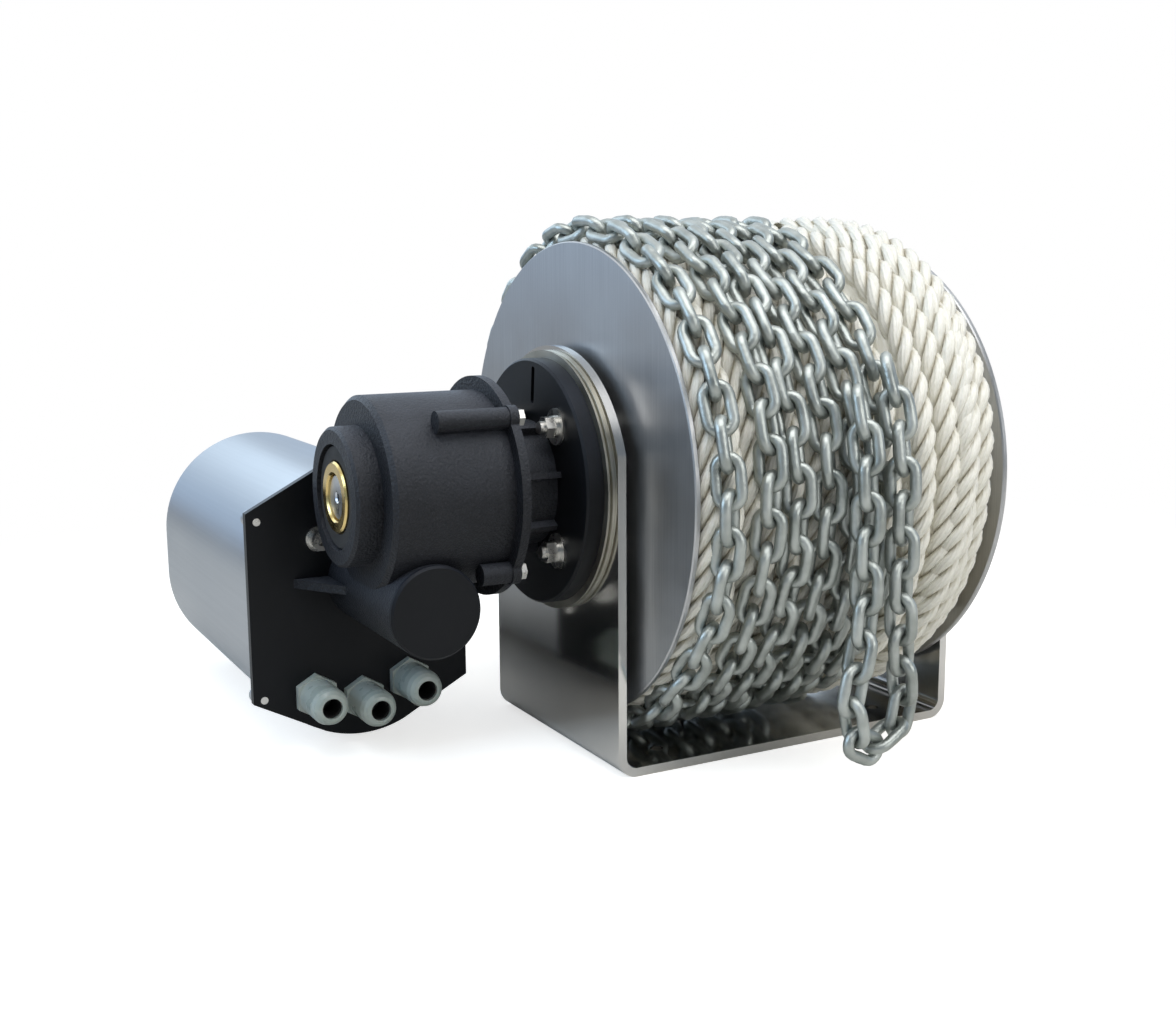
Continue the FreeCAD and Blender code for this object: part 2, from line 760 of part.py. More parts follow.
def make_bight():
    """Loose chain: each link is a separate closed solid, quarter-turned from its neighbours."""
    points = walk(bight_path(), link_step)
    quarter = math.pi / 4
    links = [make_link(a, b, quarter if i % 2 else -quarter)
             for i, (a, b) in enumerate(zip(points, points[1:]))]
    return Part.makeCompound(links)


# ---- motor and cover ---------------------------------------------------------
def plate_outline(y):
    """Face of the motor plate: upright sides, slanted corners, rounded top and bottom."""
    x = plate_middle_x
    top = plate_high_corner + plate_rise
    low = plate_low_corner - plate_rise
    left, right = x - plate_half_width, x + plate_half_width
    corners = [V(x - plate_shoulder, y, low), V(left, y, plate_low_corner), V(left, y, plate_high_corner),
               V(x - plate_shoulder, y, top)]
    others = [V(x + plate_shoulder, y, top), V(right, y, plate_high_corner), V(right, y, plate_low_corner),
              V(x + plate_shoulder, y, low)]
    edges = Part.makePolygon(corners).Edges
    edges.append(Part.Arc(corners[-1], V(x, y, top + plate_top_crown), others[0]).toShape())
    edges += Part.makePolygon(others).Edges
    edges.append(Part.Arc(others[-1], V(x, y, low - plate_bottom_crown), corners[0]).toShape())
    return Part.Face(Part.Wire(edges))


plate_screw_places = [(plate_middle_x - plate_half_width + plate_screw_inset, plate_high_corner - 6),
                      (plate_middle_x - plate_half_width + plate_screw_inset, plate_low_corner + 2),
                      (plate_middle_x + plate_half_width - plate_screw_inset, plate_high_corner - 6),
                      (plate_middle_x + plate_half_width - plate_screw_inset, plate_low_corner + 37)]
shaft_pilot = 24.0


def make_plate():
    plate = plate_outline(plate_face).extrude(V(0, plate_thickness, 0))
    holes = [along_y(plate_face - 1, plate_back + 1, shaft_pilot, worm_x, worm_z)]
    holes += [along_y(plate_face - 1, plate_back + 1, gland_thread_radius + shaft_fit, x, z)
              for x, z in gland_places]
    holes += [along_y(plate_face - 1, plate_back + 1, motor_bolt_radius + stud_clearance, x, z)
              for x, z in motor_bolt_places]
    for x, z in plate_screw_places:
        holes.append(along_y(plate_face - 1, plate_back + 1, plate_screw_radius + shaft_fit, x, z))
        holes.append(screw_cone(x, z, shaft_fit))
    return plate.cut(holes)


def screw_cone(x, z, extra):
    """Countersunk head of a plate screw, or with a little extra its countersink."""
    depth = plate_screw_head - plate_screw_radius
    return Part.makeCone(plate_screw_head + extra, plate_screw_radius + extra, depth,
                         V(x, plate_face, z), V(0, 1, 0))


def make_plate_screws():
    screws = []
    for x, z in plate_screw_places:
        shank = along_y(plate_face, plate_back + lug_length - 3, plate_screw_radius, x, z)
        screws.append(shank.fuse(screw_cone(x, z, 0)))
    return Part.makeCompound(screws)


def stadium(y, inset):
    """Upright face with round top and bottom: the section of the motor cover."""
    radius = cover_half_width - inset
    top = cover_top - inset - radius
    low = cover_bottom + inset + radius
    x = plate_middle_x
    left, right = x - radius, x + radius
    edges = [Part.LineSegment(V(left, y, low), V(left, y, top)).toShape(),
             Part.Arc(V(left, y, top), V(x, y, top + radius), V(right, y, top)).toShape(),
             Part.LineSegment(V(right, y, top), V(right, y, low)).toShape(),
             Part.Arc(V(right, y, low), V(x, y, low - radius), V(left, y, low)).toShape()]
    return Part.Face(Part.Wire(edges))


def make_cover():
    """Deep drawn cover, closed at the back, with a screw lug behind each plate screw."""
    back = plate_back + cover_depth
    shell = stadium(plate_back, 0).extrude(V(0, cover_depth, 0))
    rim = [e for e in shell.Edges if abs(e.BoundBox.YMin - back) < 0.01]
    shell = shell.makeFillet(cover_edge, rim)
    shell = shell.cut(stadium(plate_back - 1, cover_wall).extrude(V(0, cover_depth - cover_wall + 1, 0)))
    for x, z in plate_screw_places:
        lug = along_y(plate_back, plate_back + lug_length, lug_radius, x, z)
        inwards = 1 if x < plate_middle_x else -1
        foot = Part.makeBox(13, lug_length, 2 * lug_radius, V(0, 0, 0))
        if z < plate_middle_z and inwards < 0:
            foot.translate(V(x, plate_back, z - lug_radius))
            foot = foot.common(Part.makeBox(cover_half_width + plate_middle_x - x - 1, 99, 999,
                                            V(x, 0, 0)))
        else:
            foot.translate(V(x if inwards > 0 else x - 13, plate_back, z - lug_radius))
        shell = shell.fuse([lug, foot])
    for x, z in plate_screw_places:
        shell = shell.cut(along_y(plate_back - 1, plate_back + lug_length + 1,
                                  plate_screw_radius + shaft_fit, x, z))
    return shell.removeSplitter()


def make_motor_bolts():
    """Socket cap screws that hold the motor's face to the plate."""
    seat = plate_face - washer_thickness - spring_washer_thickness
    bolts = []
    for x, z in motor_bolt_places:
        head = along_y(seat - 8, seat, motor_bolt_head, x, z)
        socket = polygon_prism(6, 6.0, V(x, seat - 9, z), V(0, 1, 0), 5.0)
        shank = along_y(seat, plate_back + 7, motor_bolt_radius, x, z)
        bolts.append(head.fuse(shank).cut(socket))
    return Part.makeCompound(bolts)


def make_motor_washers():
    """A flat washer and a spring washer under each motor bolt, as one stack."""
    stacks = []
    for x, z in motor_bolt_places:
        face = plate_face
        stack = turned_y([(face, motor_bolt_radius + shaft_fit), (face, washer_radius - 3.5),
                          (face - washer_thickness, washer_radius - 3.5),
                          (face - washer_thickness, spring_washer_radius),
                          (face - washer_thickness - spring_washer_thickness, spring_washer_radius),
                          (face - washer_thickness - spring_washer_thickness,
                           motor_bolt_radius + shaft_fit)], x, z)
        stacks.append(stack)
    return Part.makeCompound(stacks)


def make_can():
    """Motor housing: flanged face, long steel tube."""
    y0 = plate_back
    flange = motor_bolt_circle + motor_bolt_radius + 5
    can = turned_y([(y0, worm_bore), (y0, flange), (y0 + 8, flange), (y0 + 8, can_radius),
                    (y0 + can_length, can_radius), (y0 + can_length, can_radius - can_wall),
                    (y0 + 10, can_radius - can_wall), (y0 + 10, worm_bore)], worm_x, worm_z)
    return can.cut([along_y(y0 - 1, y0 + 7.5, motor_bolt_radius + shaft_fit, x, z)
                    for x, z in motor_bolt_places])


def make_magnets():
    outer = can_radius - can_wall - shaft_fit
    inner = outer - magnet_thickness
    y0 = plate_back + 22
    magnets = []
    for i in range(4):
        ring = tube_y(y0, y0 + armature_length, outer, inner, worm_x, worm_z)
        wedge = Part.makeCylinder(outer + 5, armature_length + 2, V(0, 0, 0), V(0, 1, 0), magnet_angle)
        wedge.rotate(V(0, 0, 0), V(0, 1, 0), 90.0 * i)
        wedge.translate(V(worm_x, y0 - 1, worm_z))
        magnets.append(ring.common(wedge))
    return Part.makeCompound(magnets)


def make_armature():
    """Slotted armature core on the shaft."""
    y0 = plate_back + 22
    core = tube_y(y0, y0 + armature_length, armature_radius, worm_shaft_radius + shaft_fit, worm_x, worm_z)
    slots = []
    for i in range(armature_slots):
        slot = Part.makeBox(4, armature_length + 2, 14, V(worm_x - 2, y0 - 1, worm_z + armature_radius - 10))
        slot.rotate(V(worm_x, 0, worm_z), V(0, 1, 0), 360.0 * i / armature_slots)
        slots.append(slot)
    return core.cut(slots)


commutator_face = plate_back + 22 + armature_length + 6


def make_commutator():
    return turned_y([(commutator_face, worm_shaft_radius + shaft_fit),
                     (commutator_face, commutator_radius + 3), (commutator_face + 3, commutator_radius + 3),
                     (commutator_face + 3, commutator_radius),
                     (commutator_face + commutator_length, commutator_radius),
                     (commutator_face + commutator_length, worm_shaft_radius + shaft_fit)], worm_x, worm_z)


def make_brush_ring():
    outer = can_radius - can_wall - shaft_fit
    middle = commutator_face + 3 + (commutator_length - 3) / 2
    return tube_y(middle - 6, middle + 6, outer, outer - 8, worm_x, worm_z)


def make_brushes():
    middle = commutator_face + 3 + (commutator_length - 3) / 2
    outer = can_radius - can_wall - shaft_fit - 8
    blocks = []
    for i in range(4):
        block = Part.makeBox(8, 10, outer - commutator_radius - soft_gap + 0.2,
                             V(worm_x - 4, middle - 5, worm_z + commutator_radius + soft_gap))
        block.rotate(V(worm_x, 0, worm_z), V(0, 1, 0), 45 + 90.0 * i)
        blocks.append(block.cut(tube_y(middle - 6, middle + 6, 2 * can_radius, outer, worm_x, worm_z)))
    return Part.makeCompound(blocks)


bell_face = plate_back + can_length - end_bell


def make_end_bell():
    outer = can_radius - can_wall - shaft_fit
    return turned_y([(bell_face, worm_shaft_radius + 4), (bell_face, outer), (bell_face + end_bell, outer),
                     (bell_face + end_bell, 0), (bell_face + 3 + motor_bearing_width, 0),
                     (bell_face + 3 + motor_bearing_width - 1, motor_bearing_radius + shaft_fit),
                     (bell_face + 2, motor_bearing_radius + shaft_fit),
                     (bell_face + 2, worm_shaft_radius + 4)], worm_x, worm_z)


# ---- glands ------------------------------------------------------------------
def make_gland_bodies():
    bodies = []
    for x, z in gland_places:
        hex_face = plate_face - gland_hex_length
        hexagon = polygon_prism(6, gland_flats, V(x, hex_face, z), V(0, 1, 0), gland_hex_length)
        body = hexagon.fuse([along_y(hex_face - gland_neck_length, hex_face, gland_neck_radius, x, z),
                             along_y(plate_face, plate_back + gland_nut_thickness + 2,
                                     gland_thread_radius, x, z)])
        bodies.append(body.cut(along_y(0, plate_back + 20, gland_hole_radius + 0.5, x, z)))
    return Part.makeCompound(bodies)


def make_gland_domes():
    """Rounded clamping nut of each gland."""
    domes = []
    base = plate_face - gland_hex_length
    tip = base - gland_dome_length - gland_neck_length
    for x, z in gland_places:
        dome = turned_y([(base - 0.1, gland_neck_radius + shaft_fit), (base - 0.1, gland_dome_radius),
                         (tip + 7, gland_dome_radius), (tip + 3, gland_dome_radius - 1.2),
                         (tip + 0.8, gland_dome_radius - 3.2), (tip, gland_dome_radius - 5),
                         (tip, gland_hole_radius), (tip + 3, gland_hole_radius),
                         (tip + 4, gland_neck_radius + shaft_fit)], x, z)
        domes.append(dome)
    return Part.makeCompound(domes)


def make_gland_seals():
    seals = []
    neck_front = plate_face - gland_hex_length - gland_neck_length
    tip = neck_front - gland_dome_length
    for x, z in gland_places:
        seals.append(tube_y(tip + 4.5, neck_front, gland_neck_radius, gland_hole_radius - 0.5, x, z))
    return Part.makeCompound(seals)


def make_gland_nuts():
    nuts = []
    for x, z in gland_places:
        nut = polygon_prism(6, gland_flats - 3, V(x, plate_back, z), V(0, 1, 0), gland_nut_thickness)
        nuts.append(nut.cut(along_y(plate_back - 1, plate_back + 20, gland_thread_radius + shaft_fit, x, z)))
    return Part.makeCompound(nuts)


# ---- right side --------------------------------------------------------------
def make_housing():
    """Flanged bearing housing outside the right-hand side plate."""
    pocket = half_length + bearing_width
    housing = turned_x([(half_length, bearing_radius + shaft_fit), (half_length, housing_radius),
                        (half_length + 6, housing_radius), (half_length + 6, bearing_radius + 5),
                        (housing_face - 1, bearing_radius + 5), (housing_face, bearing_radius + 4),
                        (housing_face, 0), (pocket, 0), (pocket, bearing_radius + shaft_fit)])
    return housing.cut([along_x(half_length - 1, housing_face, stud_radius + stud_clearance, y, z)
                        for y, z in housing_places])


def make_housing_bolts():
    """Bolts from inside the right-hand plate with nuts on the housing's flange."""
    bolts = []
    for y, z in housing_places:
        nut_x = half_length + 6
        shank = along_x(plate_in, nut_x + nut_height + stud_end, stud_radius, y, z)
        head = polygon_prism(6, nut_flats, V(plate_in - head_height, y, z), V(1, 0, 0), head_height)
        bolts.append(shank.fuse(head))
    return Part.makeCompound(bolts)


def make_housing_nuts():
    nuts = []
    nut_x = half_length + 6
    for y, z in housing_places:
        nut = polygon_prism(6, nut_flats, V(nut_x, y, z), V(1, 0, 0), nut_height)
        nuts.append(nut.cut(along_x(nut_x - 1, nut_x + nut_height + 1, stud_radius + shaft_fit, y, z)))
    return Part.makeCompound(nuts)


# ---- all nodes ---------------------------------------------------------------
save("u_frame", make_frame())
save("spacer_ring", make_ring())
save("adapter_disc", make_disc())
save("neck_collar", make_neck())
save("side_bolts", make_studs())
save("flat_washers", stud_rings(washer_face, disc_face, washer_radius))
save("spring_washers", stud_rings(spring_face, washer_face, spring_washer_radius))
save("side_nuts", make_nuts())
save("left_bearing", drum_bearing(disc_face, bearing_width, bearing_radius, shaft_radius + shaft_fit))

save("gearbox_housing", make_gearbox())
save("gearbox_lid", make_lid())
save("lid_bolts", make_gear_bolts())
save("worm_cap", make_worm_cap())
save("output_seal", make_seal())
save("front_gear_bearing", drum_bearing(body_face, gear_bearing_width, gear_bearing_radius,
                                        hub_sleeve_radius + shaft_fit))
save("rear_gear_bearing", drum_bearing(lid_face - gear_bearing_width, gear_bearing_width,
                                       gear_bearing_radius, hub_sleeve_radius + shaft_fit))
save("front_worm_bearing", worm_bearing(spigot_end, worm_bearing_width, worm_bore - shaft_fit))
save("rear_worm_bearing", worm_bearing(plate_face - rear_bearing_inset - worm_bearing_width,
                                       worm_bearing_width, worm_bore - shaft_fit))

save("motor_plate", make_plate())
save("plate_screws", make_plate_screws())
save("motor_bolts", make_motor_bolts())
save("motor_washers", make_motor_washers())
save("motor_cover", make_cover())
save("motor_can", make_can())
save("field_magnets", make_magnets())
save("brush_ring", make_brush_ring())
save("brushes", make_brushes())
save("motor_end_bell", make_end_bell())
save("motor_bearing", worm_bearing(bell_face + 2, motor_bearing_width, motor_bearing_radius))
save("gland_bodies", make_gland_bodies())
save("gland_domes", make_gland_domes())
save("gland_seals", make_gland_seals())
save("gland_nuts", make_gland_nuts())

save("right_bearing_housing", make_housing())
save("right_bearing", drum_bearing(half_length, bearing_width, bearing_radius, shaft_radius + shaft_fit))
save("housing_bolts", make_housing_bolts())
save("housing_nuts", make_housing_nuts())
save("chain_bight", make_bight())

save("drum_core", tube_x(-flange_in, flange_in, core_radius, core_radius - core_wall))
save("left_flange", make_flange(-1))
save("right_flange", make_flange(1))
save("drum_hubs", make_hubs())
save("drum_shaft", make_shaft())
save("shaft_key", key_block(0))
save("worm_wheel", make_wheel())
save("brass_ring", make_brass_ring())
save("rope_pack", make_rope())
for number, place in enumerate(turn_places, 1):
    save("chain_turn_" + str(number), make_chain_turn(place))

save("worm_shaft", make_worm())
save("armature", make_armature())
save("commutator", make_commutator())
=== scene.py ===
# %% [markdown]
# # An electric drum winch, dressed cell by cell
# The winch is a horizontal drum in a bent stainless frame. A black worm gearbox stands at its left, and the
# motor hides behind a black plate under a deep aluminium cover. White laid rope fills the drum, with turns of
# short-link chain over it, and one slack bight of chain hangs at the front.
#
# The frame brings in every hard part at its real size, in metres, so nothing here is placed by eye. This
# lesson adds what solid modelling leaves out: real links, twisted rope and the finish of each surface.

# %% Load the frame
import math
import random

import bpy
import numpy as np
from mathutils import Matrix, Vector


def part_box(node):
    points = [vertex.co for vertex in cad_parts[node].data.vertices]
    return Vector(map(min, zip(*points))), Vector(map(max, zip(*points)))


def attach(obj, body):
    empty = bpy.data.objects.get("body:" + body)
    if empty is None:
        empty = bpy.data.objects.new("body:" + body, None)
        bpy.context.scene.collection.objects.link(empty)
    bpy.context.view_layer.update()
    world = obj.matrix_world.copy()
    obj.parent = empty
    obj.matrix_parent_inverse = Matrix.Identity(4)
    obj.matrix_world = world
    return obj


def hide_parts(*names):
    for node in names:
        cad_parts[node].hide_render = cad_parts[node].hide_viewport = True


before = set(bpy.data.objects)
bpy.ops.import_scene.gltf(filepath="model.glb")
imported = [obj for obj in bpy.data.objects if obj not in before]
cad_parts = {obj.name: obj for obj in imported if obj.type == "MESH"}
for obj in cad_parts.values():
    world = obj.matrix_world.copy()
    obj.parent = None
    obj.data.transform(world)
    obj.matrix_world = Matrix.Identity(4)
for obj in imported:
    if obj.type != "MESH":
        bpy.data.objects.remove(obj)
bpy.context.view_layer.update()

# %% [markdown]
# ## Where things are
# The drum axis, the flanges and the side plates set where rope and chain may lie. Each of these comes from
# the box of a part, so a change of the solid model moves the rope and the chain with it.

# %% Read the main places
def half_height(box):
    """Radius of a part that turns about the drum axis, from the height of its box."""
    return (box[1].z - box[0].z) / 2


flange_low, flange_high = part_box("left_flange")
axis_z = (flange_low.z + flange_high.z) / 2
drum_left = flange_high.x
drum_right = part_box("right_flange")[0].x
bare_radius = half_height(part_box("rope_pack"))
print("axis height", round(axis_z, 4), "bare rope radius", round(bare_radius, 4))
print("drum from", round(drum_left, 4), "to", round(drum_right, 4))

# %% [markdown]
# ## The camera
# The camera comes first, because every later choice is judged through it. It stands in front of the winch and
# to its left, a little above the drum, and looks slightly down. A matrix built from three turns says exactly
# that: turn to the right, tilt down, then the small roll of a hand-held camera.

# %% Make the camera
def add_object(name, data):
    """Puts new data into the scene as an object."""
    thing = bpy.data.objects.new(name, data)
    bpy.context.collection.objects.link(thing)
    return thing


def make_camera(place, turn_right, tilt_down, roll, lens):
    """Camera at a place, with its turns in radians and its lens in millimetres."""
    data = bpy.data.cameras.new("studio_camera")
    data.sensor_width = 36.0
    data.lens = lens
    camera = add_object("studio_camera", data)
    turned = (Matrix.Rotation(-turn_right, 3, "Z") @ Matrix.Rotation(math.pi / 2 - tilt_down, 3, "X")
              @ Matrix.Rotation(roll, 3, "Z"))
    camera.matrix_world = Matrix.Translation(place) @ turned.to_4x4()
    bpy.context.scene.camera = camera
    return camera


camera_place = Vector((-0.57035, -0.85735, 0.32781))
camera = make_camera(camera_place, turn_right=0.4925, tilt_down=0.1657, roll=-0.0069, lens=43.44)
print("camera at", [round(v, 3) for v in camera.location])

# %% [markdown]
# ## Helpers for nodes
# Materials and the world are graphs of nodes. Written out, the same few lines come back for every maths node
# or range, so each common step gets a short function that makes the node and hands back its output.

# %% Small node helpers
def feed(tree, socket, value):
    """Puts a number on a socket, or joins another socket to it."""
    if isinstance(value, (int, float)):
        socket.default_value = value
    else:
        tree.links.new(value, socket)


def maths(tree, operation, first, second):
    """Maths node; each operand is a socket or a number."""
    node = tree.nodes.new("ShaderNodeMath")
    node.operation = operation
    feed(tree, node.inputs[0], first)
    feed(tree, node.inputs[1], second)
    return node.outputs[0]


def map_range(tree, value, start, end, low=0.0, high=1.0, kind="SMOOTHSTEP"):
    """Carries a value from the range start to end over to the range low to high."""
    node = tree.nodes.new("ShaderNodeMapRange")
    node.interpolation_type = kind
    for label, number in (("From Min", start), ("From Max", end), ("To Min", low), ("To Max", high)):
        node.inputs[label].default_value = number
    tree.links.new(value, node.inputs["Value"])
    return node.outputs[0]


def tone_ramp(tree, mask, stops):
    """Colour that runs through its stops, given as (place, colour), as the mask goes from 0 to 1."""
    ramp = tree.nodes.new("ShaderNodeValToRGB")
    marks = ramp.color_ramp.elements
    while len(marks) < len(stops):
        marks.new(0.5)
    for mark, (place, tone) in zip(marks, stops):
        mark.position = place
        mark.color = (*tone, 1)
    tree.links.new(mask, ramp.inputs[0])
    return ramp.outputs[0]


print("node helpers ready")

# %% Shaders by kind of ray
def plain_shader(tree, kind, tone, strength=None):
    """Shader with one colour, which is a socket or a plain colour."""
    shader = tree.nodes.new(kind)
    if isinstance(tone, tuple):
        shader.inputs["Color"].default_value = (*tone, 1)
    else:
        tree.links.new(tone, shader.inputs["Color"])
    if strength is not None:
        shader.inputs["Strength"].default_value = strength
    return shader.outputs[0]


def mix_shaders(tree, share, first, second):
    """The first shader, or the second where the share is 1."""
    mix = tree.nodes.new("ShaderNodeMixShader")
    for slot, value in enumerate((share, first, second)):
        tree.links.new(value, mix.inputs[slot])
    return mix.outputs[0]


def ray_masks(tree):
    """Masks for rays from the camera, and for rays that metal or glass sends on."""
    path = tree.nodes.new("ShaderNodeLightPath").outputs
    mirrored = maths(tree, "MAXIMUM", path["Is Glossy Ray"], path["Is Transmission Ray"])
    return path["Is Camera Ray"], mirrored


print("ray helpers ready")

# %% [markdown]
# ## The room
# Polished steel shows its surroundings more than itself, so the room matters. The world is a soft gradient,
# cool above and warm below, which gives the flange and the cover their change from blue-grey to warm grey.
# Matt parts get an even, dim share of it. The background is white because the world is white to the camera,
# not because more light falls on the winch. Two ramps do what an image of a studio would, and are easier to
# adjust.

# %% Make the world
soft_room = [(0.30, (0.46, 0.44, 0.40)), (0.52, (0.56, 0.57, 0.58)), (0.85, (0.66, 0.70, 0.76))]
shown_room = [(0.44, (0.34, 0.33, 0.30)), (0.50, (0.48, 0.55, 0.66)), (0.54, (0.62, 0.83, 1.12)),
              (0.72, (0.80, 0.90, 1.0)), (0.95, (0.95, 0.97, 1.0))]
soft_strength = 0.60
front_dim = 0.32                      # the room that metal shows is darker in front of the winch


def make_world():
    """White to the camera, an even soft light to matt parts, and the shown room to shiny ones."""
    world = bpy.data.worlds.new("studio")
    bpy.context.scene.world = world
    world.use_nodes = True
    tree = world.node_tree
    nodes, links = tree.nodes, tree.links
    nodes.clear()
    place = nodes.new("ShaderNodeTexCoord")
    split = nodes.new("ShaderNodeSeparateXYZ")
    links.new(place.outputs["Generated"], split.inputs[0])
    height = map_range(tree, split.outputs["Z"], -1.0, 1.0, kind="LINEAR")
    soft = tone_ramp(tree, height, soft_room)
    dimmed = nodes.new("ShaderNodeVectorMath")
    dimmed.operation = "SCALE"
    links.new(tone_ramp(tree, height, shown_room), dimmed.inputs[0])
    links.new(map_range(tree, split.outputs["Y"], -0.7, 0.35, front_dim), dimmed.inputs["Scale"])
    kind = "ShaderNodeBackground"
    to_camera, mirrored = ray_masks(tree)
    room = mix_shaders(tree, mirrored, plain_shader(tree, kind, soft, soft_strength),
                       plain_shader(tree, kind, dimmed.outputs[0], 1.0))
    white = plain_shader(tree, kind, (1.0, 1.0, 1.0), 1.0)
    out = nodes.new("ShaderNodeOutputWorld")
    links.new(mix_shaders(tree, to_camera, room, white), out.inputs["Surface"])


make_world()
print("world made")

# %% [markdown]
# ## The floor
# The floor is one large square. It has to take the winch's shadow and still melt into the white behind it, so
# to the camera it is a pale surface with some glow of its own, and further out it fades to plain white. Metal
# sees it pale and without the glow. Matt parts see it a little darker, so that it doesn't light them from
# below.

# %% Make the floor
floor_reach = 6.0
floor_glow = 0.66
fade_start, fade_end = 0.45, 1.1      # distance from the winch


def add_mesh(name, points, faces, material):
    """Mesh object with one finish."""
    data = bpy.data.meshes.new(name)
    data.from_pydata(points, [], faces)
    data.materials.append(material)
    data.update()
    return add_object(name, data)


def floor_material():
    """Matt floor that keeps a shadow, glows to the camera and is white far away."""
    material = bpy.data.materials.new("pale_floor")
    material.use_nodes = True
    tree = material.node_tree
    nodes, links = tree.nodes, tree.links
    nodes.clear()
    matt = plain_shader(tree, "ShaderNodeBsdfDiffuse", (0.60, 0.58, 0.53))
    pale = plain_shader(tree, "ShaderNodeBsdfDiffuse", (0.80, 0.78, 0.74))
    near = nodes.new("ShaderNodeAddShader")
    links.new(pale, near.inputs[0])
    links.new(plain_shader(tree, "ShaderNodeEmission", (1, 1, 1), floor_glow), near.inputs[1])
    place = nodes.new("ShaderNodeTexCoord")
    distance = nodes.new("ShaderNodeVectorMath")
    distance.operation = "LENGTH"
    links.new(place.outputs["Object"], distance.inputs[0])
    far = map_range(tree, distance.outputs["Value"], fade_start, fade_end)
    white = plain_shader(tree, "ShaderNodeEmission", (1, 1, 1), 1.0)
    seen = mix_shaders(tree, far, near.outputs[0], white)
    to_camera, mirrored = ray_masks(tree)
    unseen = mix_shaders(tree, mirrored, matt, pale)
    out = nodes.new("ShaderNodeOutputMaterial")
    links.new(mix_shaders(tree, to_camera, unseen, seen), out.inputs["Surface"])
    return material


corners = [(x * floor_reach, y * floor_reach, 0) for x, y in ((-1, -1), (1, -1), (1, 1), (-1, 1))]
floor = add_mesh("studio_floor", corners, [(0, 1, 2, 3)], floor_material())
print("floor made")

# %% [markdown]
# ## The lamps
# Four soft rectangles do what large softboxes do. One hangs over the winch and lights the top of the rope. A
# weaker, slightly warm one stands in front, a cool one at the left gives the castings their blue edge, and a
# small one behind draws the outline of the cover. All of them look at the middle of the drum.

# %% Hang the lamps
def hang_lamp(name, place, aim, size, power, tint):
    """Rectangular soft lamp at a place, turned towards its aim."""
    data = bpy.data.lights.new(name, "AREA")
    data.shape = "RECTANGLE"
    data.size, data.size_y = size
    data.energy = power
    data.color = tint
    lamp = add_object(name, data)
    lamp.location = place
    lamp.rotation_mode = "QUATERNION"
    lamp.rotation_quaternion = (Vector(aim) - Vector(place)).to_track_quat("-Z", "Y")


middle_of_drum = (0.0, 0.0, axis_z)
hang_lamp("top_sheet", (-0.1, -0.55, 1.6), middle_of_drum, (1.8, 1.1), 17.0, (1.0, 1.0, 1.0))
hang_lamp("front_soft", (0.55, -1.9, 0.85), middle_of_drum, (1.2, 0.9), 11.0, (1.0, 0.985, 0.95))
hang_lamp("cool_side", (-1.9, 0.2, 1.0), middle_of_drum, (1.0, 0.8), 11.0, (0.55, 0.76, 1.0))
hang_lamp("back_edge", (-0.7, 1.6, 1.1), middle_of_drum, (1.5, 0.8), 5.0, (0.70, 0.86, 1.0))
print("lamps hung")

# %% [markdown]
# ## Effects that several finishes share
# Brushed lines, cast grain, and settled dust mixed with painted top light appear on many parts. Each is a
# node group with its own inputs, so a material asks for fine or coarse grain by a number. A group gives back
# only masks and heights; the shader stays in the material, where its own sockets can be read by an exporter.

# %% Helpers for node groups
def new_group(name, inputs, outputs):
    """Empty shader group with float or vector inputs and float outputs."""
    group = bpy.data.node_groups.new(name, "ShaderNodeTree")
    for label, value in inputs:
        kind = "NodeSocketVector" if isinstance(value, tuple) else "NodeSocketFloat"
        socket = group.interface.new_socket(name=label, in_out="INPUT", socket_type=kind)
        socket.default_value = value
    for label in outputs:
        group.interface.new_socket(name=label, in_out="OUTPUT", socket_type="NodeSocketFloat")
    source = group.nodes.new("NodeGroupInput")
    target = group.nodes.new("NodeGroupOutput")
    return group, group.nodes, group.links, source.outputs, target.inputs


def noise(tree, where, scale, detail, rough):
    """Noise read at a place; its scale is a socket or a number."""
    texture = tree.nodes.new("ShaderNodeTexNoise")
    texture.inputs["Detail"].default_value = detail
    texture.inputs["Roughness"].default_value = rough
    tree.links.new(where, texture.inputs["Vector"])
    feed(tree, texture.inputs["Scale"], scale)
    return texture.outputs["Fac"]


print("group helpers ready")

# %% Brushed lines
def make_brushed_group():
    """Fine parallel lines: noise squeezed across the lines and stretched along them."""
    tree, nodes, links, source, target = new_group(
        "brushed_lines", [("Line Density", (900.0, 900.0, 14.0)), ("Patch Size", 9.0)], ["Lines", "Patches"])
    place = nodes.new("ShaderNodeTexCoord").outputs["Object"]
    stretch = nodes.new("ShaderNodeVectorMath")
    stretch.operation = "MULTIPLY"
    links.new(place, stretch.inputs[0])
    links.new(source["Line Density"], stretch.inputs[1])
    links.new(noise(tree, stretch.outputs[0], 1.0, 3.0, 0.6), target["Lines"])
    links.new(noise(tree, place, source["Patch Size"], 3.0, 0.55), target["Patches"])
    return tree


brushed_lines = make_brushed_group()
print("group", brushed_lines.name)

# %% Cast or moulded grain
def make_grain_group():
    """Pebbled skin of a powder-coated casting, with a few brighter specks."""
    tree, nodes, links, source, target = new_group(
        "cast_grain", [("Grain Density", 700.0), ("Patch Size", 12.0)], ["Height", "Specks", "Patches"])
    place = nodes.new("ShaderNodeTexCoord").outputs["Object"]
    density = source["Grain Density"]
    cells = nodes.new("ShaderNodeTexVoronoi")
    cells.feature = "SMOOTH_F1"
    links.new(place, cells.inputs["Vector"])
    links.new(density, cells.inputs["Scale"])
    fine = noise(tree, place, maths(tree, "MULTIPLY", density, 1.7), 4.0, 0.65)
    links.new(maths(tree, "ADD", cells.outputs["Distance"], fine), target["Height"])
    links.new(maths(tree, "POWER", fine, 5.0), target["Specks"])
    links.new(noise(tree, place, source["Patch Size"], 3.0, 0.5), target["Patches"])
    return tree


cast_grain = make_grain_group()
print("group", cast_grain.name)
